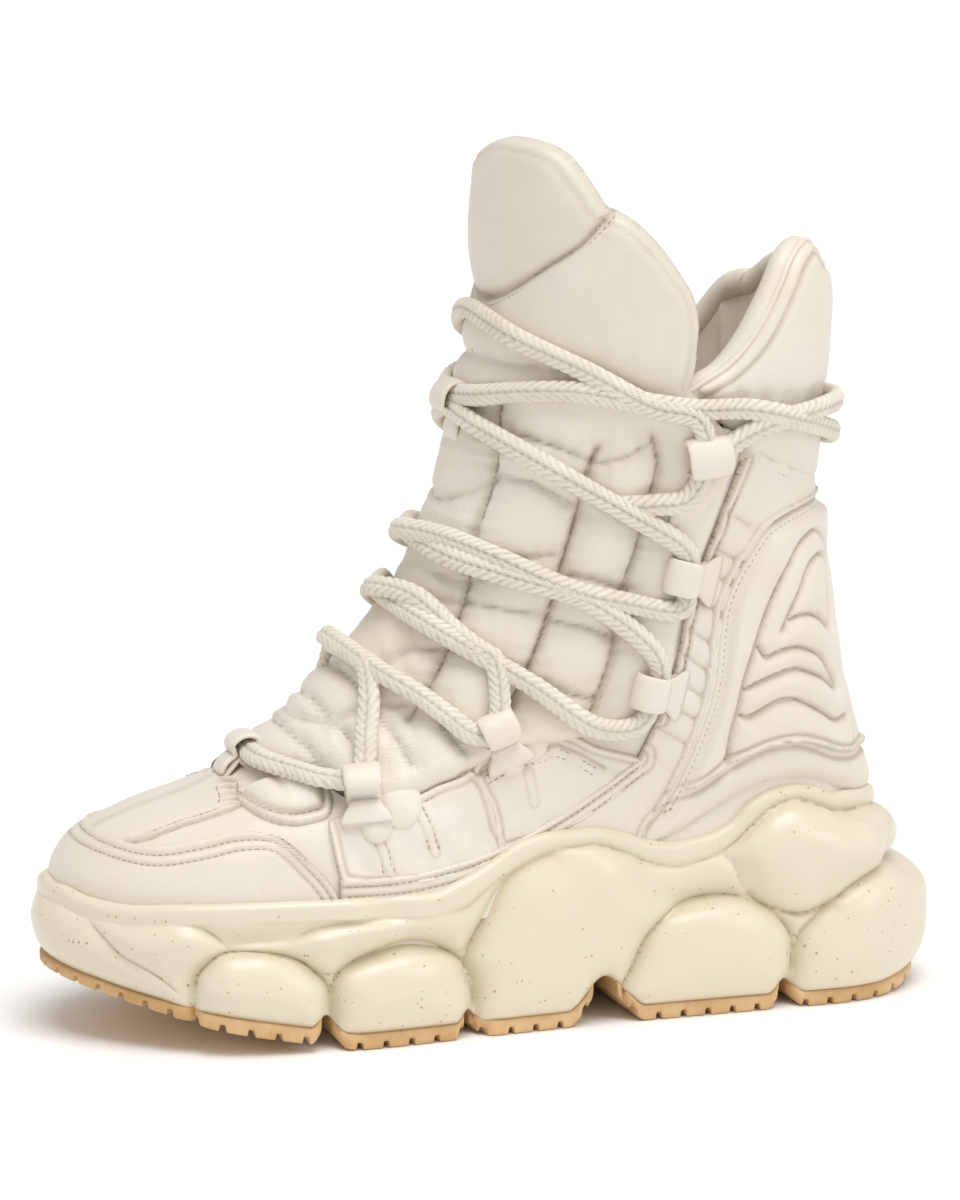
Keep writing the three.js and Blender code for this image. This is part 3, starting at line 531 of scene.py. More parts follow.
def mix_colour(tree, factor, a, b, blend="MIX"):
    node = add_node(tree, "ShaderNodeMix", data_type="RGBA", blend_type=blend)
    for index, value in ((0, factor), (6, a), (7, b)):
        if isinstance(value, bpy.types.NodeSocket):
            tree.links.new(value, node.inputs[index])
        else:
            node.inputs[index].default_value = value
    return node.outputs[2]


def maths(tree, operation, a, b):
    return add_node(tree, "ShaderNodeMath", {0: a, 1: b}, operation=operation).outputs[0]


def bump(tree, principled, layers):
    """Chained bumps of (height, strength, distance in metres)."""
    normal = None
    for height, strength, distance in layers:
        inputs = {"Height": height, "Strength": strength, "Distance": distance}
        if normal is not None:
            inputs["Normal"] = normal
        normal = add_node(tree, "ShaderNodeBump", inputs).outputs["Normal"]
    tree.links.new(normal, principled.inputs["Normal"])


def times(colour, factors):
    return tuple(v * f for v, f in zip(colour, factors))


def mark(tree, name):
    return add_node(tree, "ShaderNodeAttribute", attribute_name=name).outputs["Fac"]


def leather_material(name, colour, dirt, crease):
    material, tree, principled = shader(name, colour, 0.46, coat=0.08, subsurface=0.05)
    where = add_node(tree, "ShaderNodeTexCoord").outputs["Object"]
    tint, pucker = mark(tree, "tint"), mark(tree, "pucker")
    pores = add_node(tree, "ShaderNodeTexVoronoi", {"Vector": where, "Scale": 1100.0, "Randomness": 1.0})
    grain = noise(tree, where, 650.0, 3.0, 0.6)
    bent = noise(tree, where, 130.0, 2.0, 0.5)
    wrinkle = noise(tree, where, 240.0, 3.0, 0.55)
    patchy = noise(tree, where, 26.0, 3.0, 0.55)
    broad = noise(tree, where, 9.0, 2.0)
    warm = times(colour, (0.97, 0.93, 0.86))
    base = mix_colour(tree, ramp(tree, patchy, 0.35, 0.75), (*colour, 1), (*warm, 1))
    shade = times(colour, (0.86, 0.82, 0.75))
    base = mix_colour(tree, maths(tree, "MULTIPLY", ramp(tree, broad, 0.5, 0.8), dirt), base, (*shade, 1))
    # Painted shade: the tint mark darkens the leather towards a deep brown in seams, grooves, folds and at
    # edges, unevenly by noise.
    painted_shade = maths(tree, "MULTIPLY", tint, ramp(tree, bent, 0.25, 0.75, 0.55, 1.0))
    dark = times(colour, (0.5, 0.42, 0.31))
    base = mix_colour(tree, painted_shade, base, (*dark, 1))
    tree.links.new(base, principled.inputs["Base Color"])
    rough = ramp(tree, grain, 0.3, 0.7, 0.38, 0.54)
    tree.links.new(rough, principled.inputs["Roughness"])
    folds = maths(tree, "MULTIPLY", maths(tree, "ADD", wrinkle, bent), maths(tree, "ADD", pucker, 0.06))
    bump(
        tree,
        principled,
        [
            (folds, crease, 0.0022),
            (pores.outputs["Distance"], 0.26, 0.00022),
            (grain, 0.26, 0.00018),
        ],
    )
    return material


def foam_material():
    colour = (0.77, 0.69, 0.54)
    material, tree, principled = shader("foam", colour, 0.36, coat=0.22, subsurface=0.12)
    where = add_node(tree, "ShaderNodeTexCoord").outputs["Object"]
    specks = add_node(tree, "ShaderNodeTexVoronoi", {"Vector": where, "Scale": 540.0, "Randomness": 1.0})
    chosen = add_node(tree, "ShaderNodeSeparateColor", {"Color": specks.outputs["Color"]})
    radius = ramp(tree, chosen.outputs["Blue"], 0.0, 1.0, 0.05, 0.27)
    size = maths(tree, "LESS_THAN", specks.outputs["Distance"], radius)
    clumps = ramp(tree, noise(tree, where, 24.0, 2.0), 0.48, 0.7, 0.0, 0.36)
    pick = maths(tree, "LESS_THAN", chosen.outputs["Red"], maths(tree, "ADD", clumps, 0.06))
    spots = maths(tree, "MULTIPLY", maths(tree, "MULTIPLY", size, pick), 0.8)
    # Painted shade: the foam darkens in its creases, along the rim's crease and on the lip's inner edge.
    crease = mark(tree, "tint")
    base = mix_colour(tree, ramp(tree, crease, 0.0, 1.0, 0.0, 0.55), (*colour, 1), (0.66, 0.56, 0.36, 1))
    tan = mix_colour(tree, chosen.outputs["Green"], (0.6, 0.42, 0.17, 1), (0.36, 0.23, 0.09, 1))
    base = mix_colour(tree, spots, base, tan)
    tree.links.new(base, principled.inputs["Base Color"])
    soft = noise(tree, where, 38.0, 2.0)
    tree.links.new(ramp(tree, soft, 0.3, 0.7, 0.3, 0.42), principled.inputs["Roughness"])
    bump(tree, principled, [(spots, -0.3, 0.0002), (noise(tree, where, 420.0, 2.0), 0.08, 0.0002)])
    return material


def gum_material():
    colour = (0.68, 0.42, 0.18)
    material, tree, principled = shader("gum", colour, 0.5, subsurface=0.06)
    where = add_node(tree, "ShaderNodeTexCoord").outputs["Object"]
    patchy = noise(tree, where, 45.0, 4.0, 0.6)
    base = mix_colour(tree, ramp(tree, patchy, 0.35, 0.7), (0.75, 0.5, 0.26, 1), (0.56, 0.33, 0.13, 1))
    tree.links.new(base, principled.inputs["Base Color"])
    tree.links.new(ramp(tree, patchy, 0.3, 0.7, 0.42, 0.6), principled.inputs["Roughness"])
    bump(tree, principled, [(noise(tree, where, 500.0, 3.0), 0.3, 0.0002)])
    return material


def cord_material():
    colour = (0.84, 0.785, 0.68)
    material, tree, principled = shader("cord", colour, 0.85, sheen=0.25)
    where = add_node(tree, "ShaderNodeTexCoord").outputs["Object"]
    tint = mark(tree, "tint")
    patchy = noise(tree, where, 55.0, 4.0, 0.6)
    uneven = noise(tree, where, 16.0, 2.0)
    base = mix_colour(tree, ramp(tree, patchy, 0.4, 0.75), (*colour, 1), (0.76, 0.68, 0.54, 1))
    # Painted shade between the plaits and along the braid's middle valley, made deeper in patches by noise.
    plait_shade = maths(tree, "MULTIPLY", tint, ramp(tree, uneven, 0.3, 0.7, 0.5, 1.0))
    base = mix_colour(tree, plait_shade, base, (0.34, 0.28, 0.2, 1))
    tree.links.new(base, principled.inputs["Base Color"])
    fibres = noise(tree, where, 1500.0, 3.0, 0.7)
    bump(tree, principled, [(fibres, 0.5, 0.0003)])
    return material


def thread_material():
    material, tree, principled = shader("thread", (0.5, 0.44, 0.34), 0.8, sheen=0.2)
    where = add_node(tree, "ShaderNodeTexCoord").outputs["Object"]
    base = mix_colour(tree, noise(tree, where, 300.0), (0.58, 0.52, 0.42, 1), (0.36, 0.31, 0.24, 1))
    tree.links.new(base, principled.inputs["Base Color"])
    return material


LEATHER = leather_material("leather", (0.81, 0.75, 0.665), 0.35, 0.4)
SOFT_LEATHER = leather_material("soft_leather", (0.8, 0.745, 0.65), 0.45, 0.45)
LINING = leather_material("lining", (0.74, 0.69, 0.6), 0.5, 0.3)
FOAM = foam_material()
GUM = gum_material()
CORD = cord_material()
THREAD = thread_material()


# Seams of the pillowed tongue, each mirrored to the inner side
V_FRONT = [
    (148, 212), (152, 197), (154, 181), (157, 169), (161, 156), (165, 139), (169, 129), (175, 116),
    (186, 100),
]
V_MIDDLE = [(127, 186), (130, 178), (133, 165), (137, 151), (140, 139), (143, 130), (148, 118), (156, 103)]
V_REAR = [
    (110, 190), (108, 180), (111, 168), (113, 158), (116, 148), (119, 137), (122, 121), (126, 108),
    (131, 96),
]
ACROSS = [
    [(172, 160), (153, 176), (145, 175), (137, 170), (131, 166)],
    [(131, 172), (122, 168), (108, 160)],
    [(170, 143), (163, 142), (152, 150), (139, 152)],
    [(138, 146), (128, 144), (117, 140)],
    [(178, 134), (165, 136), (153, 134), (142, 133)],
    [(141, 131), (131, 129), (121, 125)],
    [(190, 114), (182, 120), (170, 122), (158, 118), (148, 113)],
    [(146, 112), (137, 108), (127, 105)],
    [(205, 98), (196, 103), (186, 104), (176, 103)],
    [(150, 190), (138, 186), (127, 181), (119, 183), (112, 187)],
    [(160, 192), (152, 190), (148, 188)],
    [(230, 104), (222, 97), (215, 89), (211, 83)],
    [(218, 112), (210, 103), (204, 94), (200, 84)],
    [(203, 116), (197, 106), (192, 97), (187, 86)],
    [(182, 110), (177, 100), (171, 90)],
    [(228, 94), (218, 96), (208, 97)],
]
WING_SEAM = [(121, 262), (126, 255), (131, 249), (138, 243), (145, 236), (151, 229), (158, 221), (166, 212)]
WING_EDGE = [(97, 206), (95.5, 215), (95, 226), (97, 234), (102, 242), (108, 250), (115, 257), (120, 260)]
NECK_SEAM = [(172, 214), (155, 212), (142, 211), (128, 208), (112, 203), (98, 200)]


PILLOWS = {"puff": 5.4, "wide": 12, "tall": 11}
LOBES = {"puff": 4.8, "seam": 14, "neck": 13}


def tongue_height(u, z, d, c):
    """Pillows up to the neck, and over it the lobe and the wings with their rolled edge."""
    uprights = [spline(V_FRONT), spline(V_MIDDLE), spline(V_REAR)]
    columns = distance_to(uprights, u, z)
    rows = distance_to(ACROSS, u, z)
    over_neck = smooth(197, 206, z)
    puff = PILLOWS["puff"] * swell(columns / PILLOWS["wide"]) * (0.42 + 0.58 * swell(rows / PILLOWS["tall"]))
    gathers = 0.32 * np.exp(-columns / 4) * np.sin(z / 0.75 + 2 * ripple(u, z, 30, 1.0))
    gathers += 0.32 * np.exp(-rows / 3.5) * np.sin(u / 0.8 + 2 * ripple(u, z, 30, 2.0))
    pillows = puff + gathers + groove(columns, 1.2, 0.8) + groove(rows, 0.5, 0.9)
    pillows += 0.5 * ripple(u, z, 34, 3.0)
    seam = distance_to([spline(WING_SEAM)], u, z)
    neck = distance_to([spline(NECK_SEAM)], u, z)
    lobes = LOBES["puff"] * swell(seam / LOBES["seam"]) * swell(neck / LOBES["neck"])
    lobes += groove(seam, 0.9, 0.8) + 0.3 * ripple(u, z, 46, 5.0)
    lobes += 1.2 + 0.35 * bell(d - 2.2, 1.0) - 0.4 * bell(d - 4.2, 0.7)
    height = lerp(pillows, lobes, over_neck)
    edge = np.where(z > 192, TONGUE_WALL * (1 - swell(d / 7.5)), 0)
    tucked = (1 - swell(inside_distance(THROAT_SIDE, u, z) / 5)) * (z < 190)
    middle = distance_to([uprights[1]], u, z)
    # Painted shade in the seam grooves, folds and piping grooves, and a painted shade over the whole lobe and
    # wings, which face away from the light.
    seams = darkest(0.85 * bell(middle, 0.9), 0.35 * bell(columns, 0.9)) * (1 - over_neck)
    folds = 0.22 * bell(rows, 1.2) * (1 - over_neck)
    piping = (0.25 * bell(d - 4.2, 0.7) + 0.6 * bell(seam, 0.8)) * over_neck
    tint = darkest(seams, folds, piping) + 0.14 * over_neck
    close = np.exp(-np.minimum(columns, rows) / 3.5) * (1 - over_neck)
    pucker = np.clip(0.8 * close + 0.6 * np.exp(-neck / 6) * over_neck, 0, 1)
    return height - edge - tucked * (height + 0.6), tint, pucker


def tongue_inside(u, z, d, c):
    edge = swell(d / 5)
    outer, _, _ = tongue_height(u, z, d * 0, c)
    return lerp(outer, -TONGUE_WALL + 0.3 * ripple(u, z, 30), edge)


THROAT_SIDE = np.concatenate([THROAT, [(80, 230), (250, 283), (252, 92)]])


LOBE_FALL = 5.0


def lobe_fall(c, z):
    """The lobe's top falls a little towards the inner side."""
    return LOBE_FALL * (1 - smooth(-16, 12, c)) * smooth(230, 265, z)


def add_tongue():
    wing_and_lobe = [spline(WING_EDGE), LOBE[1:-1], [(250, 283)]]
    outline = np.concatenate([[(250, 84)], THROAT[4:] - [4, 3], COLLAR_FRONT[1:]] + wing_and_lobe)
    piece = panel(
        "tongue_padding", "front", (-135, 135), (68, 284), outline, tongue_height, SOFT_LEATHER,
        inner=tongue_inside, fall=lobe_fall, cell=1.06,
    )
    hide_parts("tongue")


def collar_fall(c, z):
    """The collar's inner side lies lower than its outer one."""
    return INNER_DROP * smooth(4, 58, -c) * smooth(196, 222, z)


COLLAR_PUFF = 4.4
ANKLE_WAIST = 199  # height of the groove that the ankle turns lie in


def collar_height(u, z, d, c):
    """Padding between the rolled top edge, the piping and the seam to the panels below."""
    seam = distance_to([COLLAR_LINE], u, z)
    top = distance_to([COLLAR_TOP], u, z + collar_fall(c, z))
    waist = np.abs(z - ANKLE_WAIST)
    puff = COLLAR_PUFF * swell(top / 17) * (0.5 + 0.5 * swell((seam + 1) / 12))
    piping = bell(top - 2.2, 1.1) + groove(top - 4.6, 0.9, 0.7)
    roll = 5.0 * (1 - swell(d / 6.5))
    gathers = 0.4 * np.exp(-seam / 5) * np.sin(u / 1.2 + 2 * ripple(u, z, 25))
    gathers += 0.4 * np.exp(-waist / 6) * np.sin(u / 1.5 + 2 * ripple(u, z, 25, 4.0))
    creases = groove(waist, 1.6, 4.5) + groove(seam, 0.8, 1.0)
    # Painted shade in the groove behind the piping and along the seam below.
    tint = darkest(0.6 * bell(top - 4.6, 0.7), 0.5 * bell(seam, 1.6))
    pucker = np.clip(np.exp(-seam / 7) + np.exp(-waist / 7), 0, 1)
    return puff + piping + gathers + creases - roll + 0.3 * ripple(u, z, 38, 2.0), tint, pucker


def collar_inside(u, z, d, c):
    outer, _, _ = collar_height(u, z, d * 0, c)
    pads = 1.6 * swell(np.abs(((u + 6) / 24) % 1 - 0.5) * 24 / 6)
    return lerp(outer, -COLLAR_WALL - 0.5 + pads + 0.4 * ripple(u, z, 30), swell(d / 9))


def add_collar():
    outline = np.concatenate([COLLAR_LINE[::-1] - [0, 4], COLLAR_FRONT[1:], COLLAR_TOP[1:], [(-30, 166)]])
    piece = panel(
        "collar_padding", "heel", (-105, 105), (160, 256), outline, collar_height, SOFT_LEATHER,
        inner=collar_inside, fall=collar_fall, cell=0.95,
    )
    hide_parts("collar")
    c = np.linspace(-97, 97, 260)
    z = np.full_like(c, 230.0)
    for _ in range(40):  # settles on the height of the top edge at each column
        u = FRONT - base_point("heel", c, z)[:, 1]
        z = 0.5 * z + 0.5 * (np.interp(u, COLLAR_TOP[::-1, 0], COLLAR_TOP[::-1, 1]) - collar_fall(c, z))
    swollen = 1 + 0.05 * np.sin(c / 7.0) + 0.04 * np.sin(c / 3.1)
    roll = tube("collar_roll", surface("heel", c, z - 2.6, -4.6 + 0 * c), 4.3 * swollen, SOFT_LEATHER)
    bead = tube("collar_bead", surface("heel", c, z - 0.6, -0.7 + 0 * c), 0.95 + 0 * c, LEATHER)
    for extra in (roll, bead):
        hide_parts("collar")


def tube(name, path, radius, material, sides=14):
    """Round bead along a path of points, closed at its ends."""
    along = np.gradient(path, axis=0)
    along /= np.linalg.norm(along, axis=1, keepdims=True)
    wide = np.cross(along, [0.0, 0.0, 1.0])
    wide /= np.linalg.norm(wide, axis=1, keepdims=True)
    high = np.cross(wide, along)
    turn = np.linspace(0, 2 * np.pi, sides, endpoint=False)
    round_off = np.sqrt(np.clip(np.minimum(np.arange(len(path)), np.arange(len(path))[::-1]) / 4 + 0.1, 0, 1))
    size = (radius * round_off)[:, None, None]
    ring = np.cos(turn)[None, :, None] * wide[:, None, :] + np.sin(turn)[None, :, None] * high[:, None, :]
    points, faces = ring_mesh(list(path[:, None, :] + size * ring))
    return add_mesh(name, points, faces, material)


# Channels of the quilted heel, from the side
ARCH_OUTER = [
    (82, 82), (81, 91), (79, 100), (77, 110), (74, 119), (71, 128), (67, 137), (62, 145), (58, 151),
    (53, 154),
    (49, 154), (45, 150), (42, 143), (40, 130), (37, 117), (35, 105), (33, 94), (31, 83),
]
ARCH_INNER = [
    (64, 124), (61, 130), (58, 135), (54, 143), (50, 146), (47, 146), (45, 144), (44.5, 134), (44, 122),
]
WAVES = [
    [(61, 127), (58, 128), (54, 128), (49, 126), (44, 121)],
    [(73, 120), (70, 116), (66, 117), (60, 118), (55, 117), (49, 114), (45, 109), (41, 103)],
    [(77, 106), (72, 108), (65, 110), (59, 111), (53, 109), (47, 106), (41, 101)],
    [(79, 98), (75, 97), (70, 99), (65, 101), (59, 101), (54, 99), (47, 95), (41, 91), (36, 91)],
]
LOW_PIPING = [
    (107, 70), (100, 72.5), (92, 75.5), (85, 79.5), (78, 83.5), (70, 86.5), (63, 87.5), (56, 87),
    (49, 84.5),
    (42, 81), (35, 79), (28, 79), (20, 80),
]
ROLL_LINE = [
    (106, 57), (98, 60), (92, 63), (84, 67.5), (78, 70.5), (68, 74), (58, 74.5), (47, 72.5), (38, 68),
    (30, 65), (18, 64),
]
HEEL_LAYER = 1.4
QUILT_PUFF = 4.4


def beneath(points, u, z):
    """Whether places lie under a line that runs backwards."""
    line_u, line_z = np.array(points[::-1], float).T
    return z < np.interp(u, line_u, line_z)


def heel_height(u, z, d, c):
    """Quilting over two padded rolls, framed by a welt along the strap's seam."""
    channels = distance_to([spline(points) for points in [ARCH_OUTER, ARCH_INNER] + WAVES], u, z)
    piping = distance_to([spline(LOW_PIPING)], u, z)
    roll = distance_to([spline(ROLL_LINE)], u, z)
    below, under = beneath(LOW_PIPING, u, z), beneath(ROLL_LINE, u, z)
    quilt = HEEL_LAYER + QUILT_PUFF * swell(channels / 8) + groove(channels, 0.6, 0.6)
    padded = HEEL_LAYER + 3.4 * swell(roll / 6) * swell((piping + 0.5) / 5)
    height = np.where(below, padded, quilt)
    height = np.where(under, HEEL_LAYER + 1.2 * swell(roll / 4), height)
    height = height + bell(piping, 0.9) + groove(piping - 2.1, 0.9, 0.6) * ~under
    edge = distance_to([REAR_SEAM], u, z)
    height = lerp(height, 2.6, smooth(9, 5, edge))
    height = height + 1.3 * bell(edge - 1.3, 1.0) + groove(edge - 3.3, 0.9, 0.6)
    # Painted shade in the quilting channels, the grooves beside the piping and the welt, and at the panel's
    # edge.
    tint = darkest(
        0.5 * bell(channels, 0.7) * ~below, 0.6 * bell(piping - 2.1, 0.7), 0.8 * bell(edge - 3.3, 0.7),
        0.6 * (1 - swell(d / 0.9)),
    )
    return lerp(0.9, height, swell(d / 1.5)), tint, 0.25 * np.exp(-channels / 3)


def add_heel_panel():
    outline = np.concatenate([[(115, 40)], REAR_SEAM, [(-30, 40)]])
    piece = panel(
        "heel_quilting", "heel", (-175, 175), (46, 170), outline, heel_height, LEATHER, cell=0.78
    )
    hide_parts("heel_panel")


# Gathers of the ankle strap: from its front edge to its rear one
GATHERS = [
    ((84, 164), (76, 159)), ((87, 152), (77, 146)), ((90, 144), (80, 140)), ((93, 136), (84, 130)),
    ((97, 127), (88, 121)), ((99, 119), (90, 113)), ((101, 111), (92, 105)), ((104, 103), (93, 97)),
    ((107, 96), (95, 88)), ((111, 89), (100, 79)), ((117, 82), (107, 72)),
]


# Distances of the rows of stitches from the edges that they follow
TOE_ROWS = (2.5, 5.0)
STRAP_ROWS = (2.6, 5.4)
WELT_ROWS = (3.3, 5.6)
PIPING_ROWS = (2.1, 4.2)
TAB_ROWS = (1.6, 4.0)
QUARTER_ROW = 2.7
PAD_ROW = 2.9
PANEL_ROW = 2.4
SEAM_APART = 1.6


def strap_height(u, z, d, c):
    """Stitched edges along the sole and the throat, gathered where the strap runs up to the ankle."""
    folds = distance_to(GATHERS, u, z)
    band = distance_to([BAND_LINE], u, z)
    front = distance_to([STRAP_FRONT], u, z)
    rise = smooth(72, 96, z)
    gathered = 1.5 * swell(folds / 8) - 0.9 + groove(folds, 0.3, 0.8) + 0.25 * ripple(u, z, 18, 4.0)
    height = 2.2 + rise * gathered
    near, far = STRAP_ROWS
    for edge in (band, front):
        height = height + 0.5 * bell(edge - 0.9, 0.7) + groove(edge - near, 0.45, 0.5)
    height = height + groove(band - far, 0.4, 0.5) * (u > 100)
    # Painted shade in the gathers, in the stitched grooves and at the strap's edge.
    tint = darkest(
        0.14 * bell(folds, 1.0) * rise, 0.6 * bell(band - near, 0.7), 0.6 * bell(front - near, 0.7),
        0.5 * bell(band - far, 0.7) * (u > 100), 0.55 * (1 - swell(d / 0.9)),
    )
    pucker = rise * (0.15 + 0.6 * np.exp(-folds / 3))
    return lerp(0.7, height, swell(d / 1.3)), tint, pucker


# Seams of the quarters: from the side, with the rows of stitches that they carry
QUARTER_SEAMS = [
    [(201, 66), (199, 61), (197, 54)],
    [(188, 76), (185, 69), (182, 60)],
    [(150, 83), (148, 73)],
]
TAB_EDGES = [
    [(214, 71), (207, 73), (200, 75), (193, 76), (188, 76)],
    [(167, 83), (160, 86), (152, 89), (146, 90), (140, 91.5), (132, 88), (124, 83)],
]


def quarter_height(u, z, d, c):
    """Stitched seams, the edges of the tabs under the loops, and a rolled edge all round."""
    seams = distance_to(QUARTER_SEAMS, u, z)
    tabs = distance_to(TAB_EDGES, u, z)
    height = 0.7 + groove(seams - SEAM_APART, 0.2, 0.5) * swell(d / 3)
    height = height + 0.9 * swell(tabs / 3) + groove(tabs, 0.4, 0.6) + 0.45 * ripple(u, z, 14, 1.0)
    height = height + 0.6 * bell(d - 1.0, 0.8) + groove(d - QUARTER_ROW, 0.4, 0.5)
    # Painted shade in the seam and stitch grooves, along the tabs' edges and at the quarter's edge.
    tint = darkest(
        0.3 * bell(seams - SEAM_APART, 0.6), 0.5 * bell(tabs, 0.8), 0.8 * (1 - swell(d / 0.9)),
        0.5 * bell(d - QUARTER_ROW, 0.6),
    )
    return lerp(-0.5, height, swell(d / 1.2)), tint, 0.12 + 0.5 * np.exp(-seams / 3)


# Outlines of the quarters and of the puffy pad, from the side
QUARTER_FRONT = [
    (213, 52), (215, 62), (215, 71.5), (207, 73.5), (200, 75), (188, 77.5), (180, 80.5), (173, 82.5),
    (168, 84.5), (164, 79), (161, 68), (159, 56), (190, 50),
]
QUARTER_REAR = [
    (161, 58), (163, 71), (168, 85), (159, 90), (146, 93), (137, 95.5), (126, 90), (113, 86), (110, 83),
    (120, 72), (140, 62),
]
PAD = [
    (239, 81), (241, 77), (238, 73), (233, 70.5), (226, 69.5), (219, 70.5), (214, 72.5), (212, 78),
    (214, 83),
    (220, 86), (230, 85), (236, 84),
]


def toe_height(u, z, d, c):
    """Rolled edge and two stitched grooves."""
    height = 1.9 + 0.5 * bell(d - 0.9, 0.7) + 0.12 * ripple(u, z, 40)
    # Painted shade at the toe guard's edge and in its stitched grooves.
    tint = 0.9 * (1 - swell(d / 1.0))
    for row in TOE_ROWS:
        height = height + groove(d - row, 0.45, 0.5)
        tint = darkest(tint, 0.45 * bell(d - row, 0.6))
    return lerp(-0.3, height, swell(d / 1.0)), tint, 0.12 + 0 * u


def pad_height(u, z, d, c):
    """A puffed middle with one dimple inside a stitched edge."""
    dimple = distance_to([[(228, 84), (226, 79)]], u, z)
    height = 1.1 + 2.6 * swell((d - 3) / 6) + groove(dimple, 1.1, 1.8)
    height = height + 0.9 * bell(d - 1.1, 0.9) + groove(d - PAD_ROW, 0.5, 0.5)
    # Painted shade in the stitched groove and at the pad's edge.
    tint = darkest(0.6 * bell(d - PAD_ROW, 0.7), 0.8 * (1 - swell(d / 0.9)))
    return lerp(-0.4, height, swell(d / 1.2)), tint, 0.3 + 0 * u


# Outline of the vamp's raised panel: arc from the middle of the front, and height
VAMP_PANEL = [
    (0, 79.8), (11, 78.5), (24, 75.5), (30.5, 73.5), (31, 71), (29.5, 68), (28, 64.5), (22, 61),
    (16, 56), (0, 56),
]
SLOPE = 2.2  # surface run over height on the vamp


def skin_height(u, z, d, c):
    """Vamp with its raised panel, thicker along its rear edge, and what shows between the overlays."""
    inside = inside_distance(np.array(VAMP_PANEL) * [1, SLOPE], np.abs(c), z * SLOPE)
    rear = smooth(-4, 3, z - 77 + 0.12 * np.abs(c))
    height = (1.4 + 0.5 * rear) * swell(inside) + groove(inside + 0.4, 0.3, 0.6)
    height = height + groove(inside - PANEL_ROW, 0.35, 0.6) + 0.12 * ripple(u, z, 30)
    # Painted shadow along the raised panel's edge, and painted shade in its stitched groove.
    tint = bell(inside + 0.4, 0.8) + 0.35 * bell(inside - PANEL_ROW, 0.6)
    return height, tint, 0.06 + 0 * u


def closed(points):
    """Smooth closed outline."""
    return spline(points + points[:1])


def add_overlays():
    """Straps, quarters, puffy pads and the toe guard, each over the vamp and quarters."""
    behind = REAR_SEAM[::-1][8:] - [4.5, 1.5]
    strap = np.concatenate(
        [[(213, 35)], BAND_LINE, STRAP_FRONT, COLLAR_LINE[2:10] + [0, 4], behind, [(108, 35)]]
    )
    front, rear, pad = closed(QUARTER_FRONT), closed(QUARTER_REAR), closed(PAD)
    for word, columns in (("outer", (25, 95)), ("inner", (-95, -25))):
        sheets = [
            ("strap_leather", "side_strap", word, (44, 214), (38, 186), strap, strap_height, LEATHER, 0.55),
            ("front_tab", "quarter_front", word, (155, 219), (46, 90), front, quarter_height, LEATHER, 0.45),
            ("rear_tab", "quarter_rear", word, (104, 172), (54, 100), rear, quarter_height, LEATHER, 0.45),
            ("puffy_pad", "vamp_pad", "front", columns, (64, 92), pad, pad_height, SOFT_LEATHER, 0.45),
        ]
        for name, node, kind, across, rows, outline, height, material, cell in sheets:
            piece = panel(f"{name}_{word}", kind, across, rows, outline, height, material, cell=cell)
            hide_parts(f"{node}_{word}")
    toe = np.concatenate([[(340, 20)], TOE_TOP, [(210, 20)]])
    piece = panel("toe_leather", "front", (-135, 135), (28, 72), toe, toe_height, LEATHER, cell=0.56)
    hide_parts("toe_guard")


def bed_ring(count):
    """Turns round the last and the heights of the foam's bed under them."""
    around = np.linspace(-1, 1, count)[:-1]
    return around, bed_at(FRONT - upper_point(around, FOAM_FLOOR)[:, 1])


def add_skin():
    """Outside of the vamp and quarters, and the lining one wall inside the last."""
    throat = THROAT[4:] + [0, 4]
    outline = np.concatenate(
        [[(340, 20), (340, 110), (250, 96)], throat, [(60, 186), (-20, 186), (-20, 20)]]
    )
    skin = panel(
        "vamp_and_quarters", "front", (-250, 250), (26, 184), outline, skin_height, LEATHER, cell=1.2
    )
    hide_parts("upper")
    around, low = bed_ring(181)
    rings = []
    for z in [low] + [np.full_like(around, z) for z in np.linspace(52, 182, 34)]:
        step = 0.004
        along = upper_point(around + step, z) - upper_point(around - step, z)
        up = upper_point(around, z + 1) - upper_point(around, z - 1)
        n = np.cross(up, along)
        n /= np.linalg.norm(n, axis=1, keepdims=True)
        rings.append(upper_point(around, z) - WALL * n)
    points, faces = ring_mesh(rings, False)
    inside = add_mesh("lining", points, faces, LINING)
    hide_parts("upper")


# Footbed, from its underside over its rounded edge to the middle: lift over the bed and share of its width
FOOTBED = [(0.2, 0.93), (3.0, 0.935), (4.0, 0.915), (3.6, 0.8), (3.0, 0.55), (2.8, 0.25), (2.8, 0.02)]


def add_insole():
    around, low = bed_ring(141)
    rim = upper_point(around, low)
    rim[:, 2] = low
    centre = rim * [0, 1, 1]
    rings = []
    for lift, share in FOOTBED:
        ring = lerp(centre, rim, share)
        ring[:, 1] *= 0.975
        ring[:, 2] = bed_at(FRONT - ring[:, 1]) + lift
        rings.append(ring)
    points, faces = ring_mesh(rings)
    piece = add_mesh("footbed", points, faces, LINING)
    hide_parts("insole")


